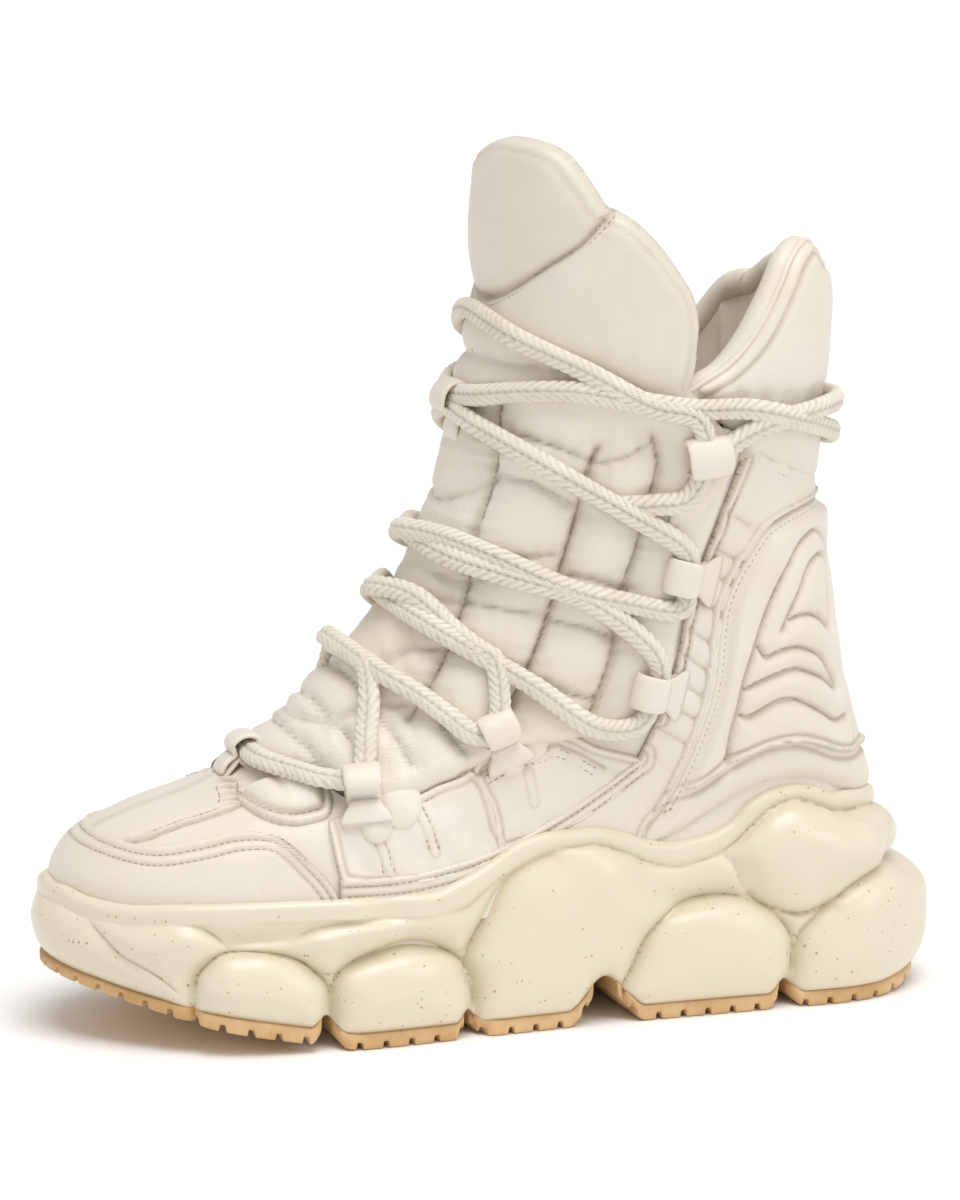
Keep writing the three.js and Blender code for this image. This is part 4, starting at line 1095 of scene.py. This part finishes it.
# Foam: rounded forms over the arc from the heel's middle and the height, with how far each stands out
SOLE_ENDS = {"heel": 0.138, "toe": 0.214, "round": 2.3}
HALF_EDGE = 343.0
FORMS = table(
    "p z long tall out",
    [
        (343, 30, 34, 15, 3.2),
        (296, 38, 20, 7, 3),
        (303, 24, 16, 8, 2.6),
        (264, 41, 22, 6, -1.6),
        (225, 44, 22, 5, -0.6),
        (258, 20, 20, 12, 5.4),
        (220, 34, 24, 7, 3.6),
        (212, 18, 22, 12, 5.8),
        (160, 32, 26, 24, 6.2),
        (112, 45, 20, 8, 1.2),
        (104, 20, 22, 14, 6.2),
        (68, 50, 22, 12, 5),
        (20, 52, 20, 12, -1.2),
        (48, 24, 24, 16, 6.8),
        (10, 22, 24, 14, 7.4),
    ],
)
RIM = table(
    "p top crease",
    [
        (0, 65, 58), (30, 66, 60), (48, 67, 60.5), (55, 67, 61), (64, 70, 64), (75, 72, 67), (83, 71, 65),
        (90, 68, 60), (97, 62, 54.5), (105, 58.5, 51), (117, 57, 49), (125, 58, 50.5), (137, 62, 55.5),
        (147, 64, 58.5), (159, 64, 58), (171, 62, 54.5), (183, 56, 48.5), (194, 51, 42), (204, 48, 41),
        (243, 48, 42), (287, 47, 41), (303, 46, 40), (320, 47, 41), (332, 48.5, 43), (343, 48, 43),
    ],
)
# Creases of the foam: depth from the form's crown, how far each rounds over, and its places (p, z)
CREASES = [
    (3.2, 10, [
        (343, 45), (335, 44), (326, 44), (319, 42), (314, 38), (309, 34), (304, 30), (295, 26),
        (288, 22), (283, 17),
    ]),
    (4.5, 9, [(318, 45), (304, 41.5), (292, 41), (281, 41), (275, 38), (270, 34), (265, 32)]),
    (9, 17, [
        (281, 14), (280, 24), (276, 29), (271, 32), (264, 32.5), (256, 32), (248, 30), (242, 26),
        (237, 20), (236, 10),
    ]),
    (6, 11, [
        (256, 32), (250, 30), (244, 26), (240, 25), (233, 25), (227, 28), (217, 31), (209, 32),
        (202, 30), (193, 28), (188, 33), (183, 41),
    ]),
    (4, 9, [(252, 31), (247, 36), (241, 39), (229, 41), (214, 43), (198, 45), (188, 49), (181, 52)]),
    (9, 17, [
        (236, 10), (236, 20), (233, 25), (227, 28), (217, 31), (209, 32), (200, 30), (192, 25),
        (188, 18), (188, 8),
    ]),
    (9, 22, [(187, 6), (188, 14), (191, 24), (188, 32), (184, 39), (179, 48), (172, 54), (162, 57)]),
    (8, 19, [
        (139, 8), (133, 18), (129, 26), (123, 32), (116, 36), (108, 38), (99, 38), (91, 36), (84, 32),
        (78, 24), (77, 16), (78, 6),
    ]),
    (4, 10, [(101, 52), (97, 48), (95, 42), (92, 38)]),
    (8, 14, [(92, 38), (86, 34), (76, 31), (66, 33), (55, 39), (46, 42), (39, 43), (20, 43), (0, 43)]),
    (8, 17, [(78, 6), (77, 16), (75, 24), (70, 29), (65, 33)]),
]
FOAM_COLUMNS = 880
# Gaps between the rubber pads, as shares of the sole's length, with their depth up into the foam
GROOVES = table("u deep half", [(0.203, 5, 0.022), (0.408, 11, 0.046), (0.562, 4.5, 0.018), (0.717, 5, 0.02)])
LIP = 5.6
LIP_ROUND = 3.0


def foam_edge(count):
    """Places round the sole's edge: u, x, outward normal and the arc from the heel's middle."""
    reach = SOLE_LENGTH - 2 * BUBBLE_DEPTH
    t = 0.5 - 0.5 * np.cos(np.linspace(0, np.pi, 1200))
    power = SOLE_ENDS["round"]
    sides = []
    for name, side in (("outer", 1), ("inner", -1)):
        half = side * SOLE_WIDTH * read(SOLE_PLAN, "u", name, t)
        for away, end in ((t, "heel"), (1 - t, "toe")):
            half = half * (1 - np.maximum(0, 1 - away / SOLE_ENDS[end]) ** power) ** (1 / power)
        sides.append(np.stack([BUBBLE_DEPTH + reach * t, half], -1))
    loop = np.concatenate([sides[0], sides[1][::-1][1:]])
    walked = np.concatenate([[0], np.cumsum(np.linalg.norm(np.diff(loop, axis=0), axis=1))])
    toe = walked[len(t) - 1]
    at = np.linspace(0, walked[-1], count, endpoint=False)
    u, x = (np.interp(at, walked, loop[:, k]) for k in (0, 1))
    place = np.stack([u, x], -1)
    forward = np.roll(place, -1, 0) - np.roll(place, 1, 0)
    forward /= np.linalg.norm(forward, axis=1, keepdims=True)
    way = np.where(at < toe, at / toe, (walked[-1] - at) / (walked[-1] - toe))
    return u, x, -forward[:, 1], forward[:, 0], way * HALF_EDGE


def lip_offset(u, x, p):
    """Where the foam's lip stands against its plan, so that it hugs the upper all round."""
    around = np.linspace(-1, 1, 1401)
    outline = upper_point(around[None, :], read(RIM, "p", "top", p)[:, None])
    gap = np.hypot(outline[..., 0] - x[:, None], outline[..., 1] - (FRONT - u)[:, None]).min(1)
    width = 15
    wrapped = np.concatenate([gap[-width:], gap, gap[:width]])
    even = np.convolve(wrapped, np.ones(width) / width, "same")[width:-width]
    return LIP - even


def foam_height(p, z, lip, low):
    """How far the foam stands out of its plan, and how deep in a crease it is, as a painted shade."""
    weights = 0
    level = 0
    for middle, high, long, tall, out in zip(*FORMS.values()):
        r = ((p - middle) / long) ** 2 + ((z - high) / tall) ** 2
        weight = (r + 0.06) ** -3
        weights = weights + weight
        level = level + weight * out
    level = level / weights
    drops = ((1 - swell((z - low) / 15)) * 7.0) ** 4
    for depth, reach, points in CREASES:
        away = distance_to([spline(points, 4)], p, z)
        drops = drops + ((1 - swell(away / reach)) * depth) ** 4
    drop = drops**0.25
    body = level - drop
    away = z - read(RIM, "p", "crease", p)
    rear = smooth(205, 188, p)
    seat = lip - 1.5 * rear
    under = lerp(seat, body, swell(-away / lerp(9, 14, rear)))
    height = np.where(away > 0, lerp(seat, lip, swell(away / 3.2)), under)
    # The second value is painted shade, in the creases and along the rim's crease at the rear.
    return height, darkest(smooth(2.5, 7, drop) * (away < 0), 0.7 * bell(away, 1.2) * rear)


def add_foam():
    """Rings of the foam from its underside up the bubbled side and over the lip."""
    u, x, nu, nx, p = foam_edge(FOAM_COLUMNS)
    low = foam_under(u)
    notch = notch_at(u)
    rim = read(RIM, "p", "top", p)
    lip = lip_offset(u, x, p)

    def ring(offset, z):
        return np.stack([x + nx * offset, FRONT - u - nu * offset, z], -1)

    rings, tints = [], []
    wall = rim - LIP_ROUND
    foot, _ = foam_height(p, low + notch, lip, low + notch)
    for share in (0, 0.35, 0.7):
        inward = ring(foot, low + notch)
        inward[:, 0] *= share
        rings.append(inward)
        tints.append(np.zeros_like(u))
    for share in np.linspace(0, 1, 84) ** 0.95:
        z = lerp(low + notch, wall, share)
        height, tint = foam_height(p, z, lip, low + notch)
        rings.append(ring(height, z))
        tints.append(tint * smooth(low + 3, low + 9, z))
    for angle in np.linspace(0, np.pi / 2, 7)[1:]:
        rings.append(ring(lip - LIP_ROUND * (1 - math.cos(angle)), wall + LIP_ROUND * math.sin(angle)))
        tints.append(np.zeros_like(u))
    # The lip's inner edge, tucked under the upper, gets a painted shade.
    for inward, drop in ((4.2, 0.4), (5.4, 1.2), (7, 3.0)):
        rings.append(ring(lip - inward, rim - drop))
        tints.append(np.zeros_like(u) + 0.4)
    points, faces = ring_mesh(rings, False)
    piece = add_mesh("foam_sole", points, faces, FOAM, {"tint": np.concatenate(tints)})
    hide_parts("midsole")


def notch_at(u):
    """How far the gaps between the rubber pads run up into the foam."""
    notch = np.zeros_like(u)
    for at, deep, half in zip(*GROOVES.values()):
        off = np.abs(u / SOLE_LENGTH - at) / half
        notch = np.maximum(notch, deep * np.cos(np.clip(off, 0, 1) * np.pi / 2) ** 2)
    return notch


LUG = {"pitch": 8.6, "gap": 2.0, "deep": 2.2}
PAD_COLUMNS = 2400


def add_pads():
    """Rubber pads: scalloped under the foam, cut into lugs round their edge."""
    u, x, nu, nx, p = foam_edge(PAD_COLUMNS)
    low = foam_under(u)
    lip = lip_offset(u, x, p)
    notch = notch_at(u)
    foot, _ = foam_height(p, low + notch + 2.6, lip, low + notch)
    ends = np.full_like(u, 1e3)
    for at, _, half in zip(*GROOVES.values()):
        ends = np.minimum(ends, (np.abs(u / SOLE_LENGTH - at) - 0.3 * half) * SOLE_LENGTH)
    edge = np.minimum(foot, 2.4) + 0.2 - 4.0 * (1 - swell((ends + 1) / 7))
    in_pad = smooth(-0.3, 0.3, ends)
    part = np.abs((p / LUG["pitch"]) % 1 - 0.5) * LUG["pitch"]
    cut = LUG["deep"] * (1 - smooth(LUG["gap"] / 2 - 0.3, LUG["gap"] / 2 + 0.3, part))
    top = low + notch
    ground = top - pad_shown(u) + 0.1
    bottom = lerp(top + 0.3, ground, in_pad)
    lug = lerp(top + 0.3, ground + cut, in_pad)

    def ring(offset, z, share=1.0):
        out = np.stack([x + nx * offset, FRONT - u - nu * offset, z], -1)
        out[:, 0] *= share
        return out

    rings = [
        ring(edge - 3, top + 1.0), ring(edge, top + 0.6), ring(edge, lug + 0.9), ring(edge - 0.3, lug + 0.3),
        ring(edge - 0.8, lug), ring(edge - 9, lug), ring(edge - 9.6, bottom), ring(edge - 12, bottom, 0.5),
        ring(edge - 12, bottom, 0),
    ]
    points, faces = ring_mesh(rings[::-1], False)
    piece = add_mesh("rubber_pads", points, faces, GUM)
    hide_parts(*[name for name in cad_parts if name.startswith("outsole")])


# Lace: places of (side, u, z, lift); side 0 is the middle of the front, or of the heel where u is 0
CORD_LIFT = 3.0 + 1.8 + LACE_THICKNESS / 2
NECK_LIFT = 4.0 + 1.2 + LACE_THICKNESS / 2
COLLAR_LIFT = 3.5 + 1.2 + LACE_THICKNESS / 2
THROUGH = {
    1: (203, 80.5, 6.8), 2: (160, 98, 7.0), 3: (109, 108, 6.8), 4: (99, 144.5, 6.8), 5: (94, 183, 7.2),
}


def places(side, rows):
    return [(side, u * SOLE_LENGTH, z * BOOT_HEIGHT, lift) for u, z, lift in rows]


def through(side, number):
    return [(side, *THROUGH[number])]


def mirrored(route):
    """The same route walked back on the other side."""
    return [(-side, u, z, lift) for side, u, z, lift in route[::-1]]


def middle(share, lift):
    """A stop in the middle of the front at a share of the boot's height."""
    return [(0, 1, share * BOOT_HEIGHT, lift)]


def lace_routes():
    """Two ends that cross over the front, the neck run and the two turns round the ankle."""
    mid = CORD_LIFT
    low = mid - 3.4
    top = mid + 1
    near = COLLAR_LIFT
    runs = {
        "toe": [(0.748, 0.295, low + 0.4), (0.722, 0.288, low + 1.4), (0.695, 0.281, low + 2.6)],
        "firstTop": [(0.648, 0.335, mid), (0.638, 0.37, mid), (0.633, 0.398, top)],
        "secondLow": [(0.625, 0.394, top), (0.597, 0.377, mid), (0.573, 0.357, mid), (0.55, 0.338, mid)],
        "secondTop": [(0.52, 0.412, mid), (0.535, 0.428, mid), (0.552, 0.444, mid), (0.574, 0.475, top)],
        "thirdLow": [(0.567, 0.444, top), (0.489, 0.394, mid), (0.427, 0.348, mid), (0.378, 0.346, mid)],
        "thirdTop": [
            (0.356, 0.416, mid), (0.382, 0.45, mid), (0.433, 0.49, mid), (0.498, 0.512, mid),
            (0.543, 0.526, mid),
        ],
        "fourthLow": [
            (0.543, 0.546, mid), (0.503, 0.53, mid), (0.445, 0.5, mid), (0.387, 0.484, mid),
            (0.332, 0.474, mid),
        ],
        "fourthTop": [
            (0.33, 0.546, mid), (0.387, 0.587, mid), (0.445, 0.626, mid), (0.488, 0.657, mid),
            (0.508, 0.674, mid),
        ],
    }

    def end(side, rise):
        path = middle(0.3, low)
        path += places(side, runs["toe"]) + through(side, 1) + places(side, runs["firstTop"])
        path += middle(0.405, top + rise)
        path += places(-side, runs["secondLow"]) + through(-side, 2) + places(-side, runs["secondTop"])
        path += middle(0.468, top + rise)
        path += places(side, runs["thirdLow"]) + through(side, 3) + places(side, runs["thirdTop"])
        path += middle(0.54, top + rise)
        path += places(-side, runs["fourthLow"]) + through(-side, 4) + places(-side, runs["fourthTop"])
        return path + middle(0.688, mid + 0.5)

    neck = places(1, [(0.395, 0.594, mid - 1.5), (0.359, 0.596, mid), (0.326, 0.603, mid)]) + through(1, 5)
    over_neck = ((0.321, 0.692), (0.367, 0.706), (0.422, 0.742), (0.474, 0.775))
    neck += places(1, [(u, z, NECK_LIFT) for u, z in over_neck])
    first = places(
        1,
        [
            (0.501, 0.706, mid), (0.476, 0.715, mid), (0.431, 0.72, mid), (0.376, 0.71, mid),
            (0.321, 0.702, near), (0.265, 0.7, near), (0.21, 0.685, near + 1), (0.157, 0.662, near + 1),
        ],
    )
    front = middle(0.7, mid + 0.5)
    second = places(
        1,
        [
            (0.3, 0.64, near), (0.279, 0.664, near), (0.237, 0.684, near), (0.192, 0.694, near + 1),
            (0.153, 0.697, near + 1),
        ],
    )
    low_heel, high_heel = ([(0, 0, share * BOOT_HEIGHT, near + 1)] for share in (0.65, 0.695))
    return {
        "lace_end_a": end(1, 0),
        "lace_end_b": end(-1, 3.6),
        "lace_neck": neck + middle(0.8, NECK_LIFT - 0.6) + mirrored(neck),
        "lace_turn_first": front + first + low_heel + mirrored(first) + front,
        "lace_turn_second": second + high_heel + mirrored(second),
    }


def stop_at(side, u, z, lift):
    """Place of one stop of the lace, and the direction straight out there."""
    kind, c = "front", 0.0
    if side != 0:
        c = arc_of("front", side, u, z)
    elif u == 0:
        kind = "heel"
    c, z = np.array(float(c)), np.array(float(z))
    return surface(kind, c, z, lift), normal_at(kind, c, z)


BRAID = {"step": 0.68, "around": 28, "pitch": 3.0, "slant": 1.5, "dent": 0.17, "valley": 0.15}


def braid(name, route):
    """Flat-oval braided cord: two rows of plaits that meet in a V along its middle."""
    stops = [stop_at(*stop) for stop in route]
    path = spline([place for place, _ in stops], 24)
    outward = spline([out for _, out in stops], 24)
    walked = np.concatenate([[0], np.cumsum(np.linalg.norm(np.diff(path, axis=0), axis=1))])
    s = np.linspace(0, walked[-1], int(walked[-1] / BRAID["step"]))
    path, outward = (
        np.stack([np.interp(s, walked, values[:, k]) for k in range(3)], -1) for values in (path, outward)
    )
    along = np.gradient(path, axis=0)
    along /= np.linalg.norm(along, axis=1, keepdims=True)
    wide = np.cross(along, outward)
    wide /= np.linalg.norm(wide, axis=1, keepdims=True)
    proud = np.cross(wide, along)
    angle = np.linspace(0, 2 * np.pi, BRAID["around"], endpoint=False)
    x, y = np.cos(angle), np.sin(angle)
    slant = np.abs(x) * BRAID["slant"] + 0.5 * (x > 0) + 0.5 * (y < 0)
    drift = 0.22 * np.sin(s / 5.3) + 0.16 * np.sin(s / 2.9 + 1.0)
    phase = (s / BRAID["pitch"] + drift)[:, None] - slant[None, :]
    ridge = np.abs(np.sin(np.pi * phase)) ** 0.7
    valley = bell(x, 0.15)[None, :]
    second = bell(np.abs(x) - 0.62, 0.13)[None, :]
    bulk = 1 - BRAID["dent"] * (1 - ridge) - BRAID["valley"] * valley - 0.05 * second
    wander = 1 + 0.04 * np.sin(s / 9.0)[:, None]
    across = x[None, :] * bulk * wander * (LACE_WIDTH / 2 - 0.05)
    stand = np.sign(y)[None, :] * np.abs(y)[None, :] ** 0.8 * bulk * (LACE_THICKNESS / 2 + 0.25)
    rings = path[:, None, :] + wide[:, None, :] * across[..., None] + proud[:, None, :] * stand[..., None]
    points, faces = ring_mesh(list(rings))
    # Painted shade in the grooves between the plaits and in the middle valley.
    tint = 0.7 * (1 - ridge) ** 1.5 + 0.55 * valley
    return add_mesh(name, points, faces, CORD, {"tint": tint.ravel()})


def add_lace():
    ends = ["lace_toe_outer", "lace_toe_inner"]
    ends += [f"lace_cross_{which}" for which in ("1", "2", "3", "4_outer", "4_inner")]
    for name, route in lace_routes().items():
        piece = braid(name, route)
        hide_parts(*(ends if name.startswith("lace_end") else ["lace_wrap"]))


# Loops: centre of the tunnel, direction of the tail in the side view, its length and end height
LOOPS = [
    {"u": 203, "z": 78.5, "turn": -0.12, "tail": 12, "end": 1.6, "wide": 12.0, "flare": 1.35},
    {"u": 159.5, "z": 96, "turn": -0.38, "tail": 12, "end": 1.6, "wide": 12.0, "flare": 1.35},
    {"u": 110, "z": 108, "turn": -1.35, "tail": 12.5, "end": 0.4, "wide": 11.5, "flare": 1.5},
    {"u": 99.5, "z": 144.5, "turn": -1.35, "tail": 12.5, "end": 0.4, "wide": 11.5, "flare": 1.5},
    {
        "u": 93.5, "z": 182, "turn": -0.1, "tail": 21, "end": 2.4, "wide": 15.0, "flare": 0.7, "ring": 7.2,
        "sway": 9,
    },
]


def loop_frame(side, u, z):
    """Origin on the surface with its upward, sideways and outward directions; side 0 is the front."""
    arc = np.array(0.0) if side == 0 else arc_of("front", side, np.array(float(u)), np.array(float(z)))
    height = np.array(float(z))
    origin, out = base_point("front", arc, height), normal_at("front", arc, height)
    wide = base_point("front", arc + 1, height) - base_point("front", arc - 1, height)
    wide = wide / np.linalg.norm(wide)
    return origin, np.cross(out, wide), wide, out


LOOP_STRAP = 2.0


def loop_piece(name, node, side, u, z, turn, tail, end, wide, flare, ring=6.1, rise=6.9, sway=0.0):
    """Strap folded round a tunnel, its two layers running down the tail."""
    angles = np.radians(np.linspace(-58, -302, 28))
    sleeve = np.stack([ring * np.cos(angles), rise + 4.5 * np.sin(angles)], -1)
    under = np.stack([np.linspace(tail, 3.6, 9), np.linspace(end, 3.0, 9)], -1)
    hump = 0.9 * np.sin(np.linspace(0, np.pi, 9))
    over = np.stack([np.linspace(3.6, tail, 9), np.linspace(4.6, end + 1.5, 9) + hump], -1)
    profile = np.concatenate([under, sleeve, over])
    neck = bell(profile[:, 0] - 5.2, 2.6)
    width = wide * lerp(1, flare, smooth(5, tail, profile[:, 0])) * (1 - 0.16 * neck)
    shift = -side * sway * smooth(4, tail, profile[:, 0])
    forward = np.gradient(profile, axis=0)
    forward /= np.linalg.norm(forward, axis=1, keepdims=True)
    outward = np.stack([-forward[:, 1], forward[:, 0]], -1)
    half = LOOP_STRAP / 2
    angle = np.linspace(0, 2 * np.pi, 24, endpoint=False)
    cx = np.sign(np.cos(angle)) * np.abs(np.cos(angle)) ** 0.45
    cy = np.sign(np.sin(angle)) * np.abs(np.sin(angle)) ** 0.8
    origin, up, across, out = loop_frame(side, u, z)
    swing = side * turn
    down = -(up * math.cos(swing) + across * math.sin(swing))
    breadth = across * math.cos(swing) - up * math.sin(swing)
    rings = []
    for k in range(len(profile)):
        sag = 0.5 * np.cos(angle) ** 2 * neck[k]
        s = profile[k, 0] + outward[k, 0] * half * cy
        lift = profile[k, 1] + outward[k, 1] * half * cy - sag
        over_wide = (cx * width[k] / 2 + shift[k])[:, None] * breadth
        rings.append(origin + s[:, None] * down + over_wide + lift[:, None] * out)
    points, faces = ring_mesh(rings)
    piece = add_mesh(name, points, faces, LEATHER)
    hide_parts(node)


def boss(name, side, u, z, radius, lift):
    """Small stuffed leather knob over the end of a tail."""
    rings = []
    turn = np.linspace(0, 2 * np.pi, 32, endpoint=False)
    for t in np.linspace(0.02, 1, 14):
        r = radius * math.sin(t * math.pi / 2)
        height = 1.2 + lift * math.cos(t * math.pi / 2) ** 0.8 + 0.12 * np.sin(5 * turn) * t
        around_u, around_z = u + r * np.cos(turn), z + 1.06 * r * np.sin(turn)
        rings.append(surface("front", arc_of("front", side, around_u, around_z), around_z, height))
    points, faces = ring_mesh(rings)
    return add_mesh(name, points, faces, SOFT_LEATHER)


# Knobs and cheeks of the two low loops: u, z, radius and lift
BOSSES = {
    "knob_front": (201, 69.5, 5.2, 3.4),
    "knob_rear": (156, 87.5, 5.2, 3.4),
    "cheek_front": (193, 76, 7.5, 2.6),
    "cheek_rear": (150, 94, 7.5, 2.6),
}


def add_loops():
    for word, side in (("outer", 1), ("inner", -1)):
        for number, loop in enumerate(LOOPS, 1):
            loop_piece(f"lace_loop_{word}_{number}", f"loop_{word}_{number}", side, **loop)
        for name, (u, z, radius, lift) in BOSSES.items():
            boss(f"{name}_{word}", side, u, z, radius, lift)
    keeper = {"u": 0, "turn": 0, "flare": 0.95}
    loop_piece("toe_keeper", "loop_toe", 0, z=84.5, wide=12, tail=11, end=0.8, ring=5.4, rise=3.9, **keeper)
    loop_piece("tongue_keeper", "loop_tongue", 0, z=0.694 * BOOT_HEIGHT, wide=15, tail=13, end=1.6, **keeper)


def beside(points, by):
    """A side-view line moved sideways: below or behind for a line that runs back or up."""
    points = np.asarray(points, float)
    way = np.gradient(points, axis=0)
    way /= np.linalg.norm(way, axis=1, keepdims=True)
    return points + by * np.stack([-way[:, 1], way[:, 0]], -1)


def from_front(rows):
    """Side-view places of points given by their arc from the middle of the front and their height."""
    arc, z = np.array(rows, float).T
    return np.stack([FRONT - base_point("front", arc, z)[:, 1], z], -1)


# The vamp's own rows of stitches, beside the puffy pad and along the panel's rear edge: arc and height
VAMP_SIDE_ROW = [(25.6, 64.8), (27, 68), (28.4, 71), (28.3, 72.6)]
VAMP_REAR_ROW = [(27, 72.4), (22, 74.2), (16, 75.6), (10.5, 76.8)]


def stitch_rows():
    """Rows of stitches: side-view lines with how high each lies."""
    toe = TOE_TOP[5:44]
    welt = REAR_SEAM[8:44]
    piping = spline(LOW_PIPING[:-2])
    rows = [(beside(toe, row), 1.55) for row in TOE_ROWS]
    rows += [(beside(BAND_LINE, row), 1.95) for row in STRAP_ROWS]
    rows += [(beside(STRAP_FRONT, STRAP_ROWS[0]), 2.2)]
    rows += [(beside(welt, row), lift) for row, lift in zip(WELT_ROWS, (1.9, 2.7))]
    rows += [(beside(piping, row), lift) for row, lift in zip(PIPING_ROWS, (2.3, 2.9))]
    rows += [(beside(TAB_EDGES[1], row), 1.5) for row in TAB_ROWS]
    for seam in QUARTER_SEAMS[:2]:
        rows += [(np.array(seam) + [apart, 0], 1.5) for apart in (SEAM_APART, -SEAM_APART)]
    rows += [(spline(V_REAR) + [apart, 0], 0.9) for apart in (1.3, -1.5)]
    return rows + [
        (beside(spline(QUARTER_FRONT[2:9]), QUARTER_ROW), 1.1),
        (beside(spline(PAD[:10]), -PAD_ROW), 0.85),
        (from_front(VAMP_SIDE_ROW), 1.2),
        (from_front(VAMP_REAR_ROW), 1.7),
        (spline(V_FRONT), 0.1),
        (spline(V_MIDDLE), 0.1),
        (beside(COLLAR_LINE[:13], 2.0), 2.5),
        (spline(WING_SEAM) - [1.2, 1.2], 3.3),
    ]


STITCH = {"pitch": 2.2, "length": 1.5}
STITCH_SECTION = [(-0.24, 0), (0, 0.22), (0.24, 0), (0, -0.3)]
STITCH_TAPER = [(0, 0.4), (0.25, 1), (0.75, 1), (1, 0.4)]


def add_stitches():
    points, faces = [], []
    for side, (row, lift) in [(side, row) for side in (1, -1) for row in stitch_rows()]:
        u, z = spline(row, 4).T
        arc = arc_of("front", side, u, z)
        path = surface("front", arc, z, np.full_like(u, lift))
        out = normal_at("front", arc, z)
        walked = np.concatenate([[0], np.cumsum(np.linalg.norm(np.diff(path, axis=0), axis=1))])

        def at(s, values):
            return np.array([np.interp(s, walked, values[:, k]) for k in range(3)])

        for s in np.arange(STITCH["pitch"], walked[-1] - STITCH["pitch"], STITCH["pitch"]):
            a, b, n = at(s, path), at(s + STITCH["length"], path), at(s, out)
            t = (b - a) / (np.linalg.norm(b - a) + 1e-9)
            w = np.cross(t, n)
            rings = []
            for share, taper in STITCH_TAPER:
                rings.append([a + (b - a) * share + taper * (x * w + y * n) for x, y in STITCH_SECTION])
            new_points, new_faces = ring_mesh(rings)
            faces += [[v + len(points) for v in face] for face in new_faces]
            points += list(new_points)
    add_mesh("stitches", np.array(points), faces, THREAD)


# Stage: the photo's view, a pale floor and soft light
VIEW = {"azimuth": 73, "elevation": 9, "distance": 1.46, "target": 0.132, "lens": 135, "sensor": 36}


def aim(item, at):
    direction = Vector(at - np.array(item.location))
    item.rotation_euler = direction.to_track_quat("-Z", "Y").to_euler()


def add_camera():
    azimuth, elevation = math.radians(VIEW["azimuth"]), math.radians(VIEW["elevation"])
    target = np.array([0, 0, VIEW["target"]]) + SHIFT * TO_METRES
    data = bpy.data.cameras.new("camera")
    data.lens = VIEW["lens"]
    data.sensor_fit = "VERTICAL"
    data.sensor_height = VIEW["sensor"]
    data.clip_end = 300
    camera = bpy.data.objects.new("camera", data)
    bpy.context.collection.objects.link(camera)
    level = math.cos(elevation)
    offset = (level * math.sin(azimuth), -level * math.cos(azimuth), math.sin(elevation))
    camera.location = target + VIEW["distance"] * np.array(offset)
    aim(camera, target)
    bpy.context.scene.camera = camera


def add_sun(name, source, spread, strength):
    """Even light from one side, as soft as a source of that many degrees across."""
    data = bpy.data.lights.new(name, "SUN")
    data.angle = math.radians(spread)
    data.energy = strength
    light = bpy.data.objects.new(name, data)
    bpy.context.collection.objects.link(light)
    light.location = source
    aim(light, np.zeros(3))


def add_stage():
    mesh = bpy.data.meshes.new("floor")
    reach = 80.0
    corners = [(reach * x, reach * y, 0) for x, y in ((-1, -1), (1, -1), (1, 1), (-1, 1))]
    mesh.from_pydata(corners, [], [(0, 1, 2, 3)])
    mesh.materials.append(shader("floor", (0.97, 0.97, 0.97), 0.7)[0])
    floor = bpy.data.objects.new("floor", mesh)
    bpy.context.collection.objects.link(floor)
    world = bpy.data.worlds.new("studio")
    world.use_nodes = True
    background = world.node_tree.nodes["Background"]
    background.inputs["Color"].default_value = (1, 0.995, 0.985, 1)
    background.inputs["Strength"].default_value = 0.57
    bpy.context.scene.world = world
    add_sun("softbox", (0.3, 0.02, 1.0), 40, 1.75)
    add_sun("side", (0.9, 0.75, 0.6), 25, 0.38)
    bpy.context.scene.view_settings.view_transform = "Standard"


add_camera()
add_stage()
add_foam()
add_pads()
add_skin()
add_insole()
add_tongue()
add_collar()
add_heel_panel()
add_overlays()
add_loops()
add_lace()
add_stitches()
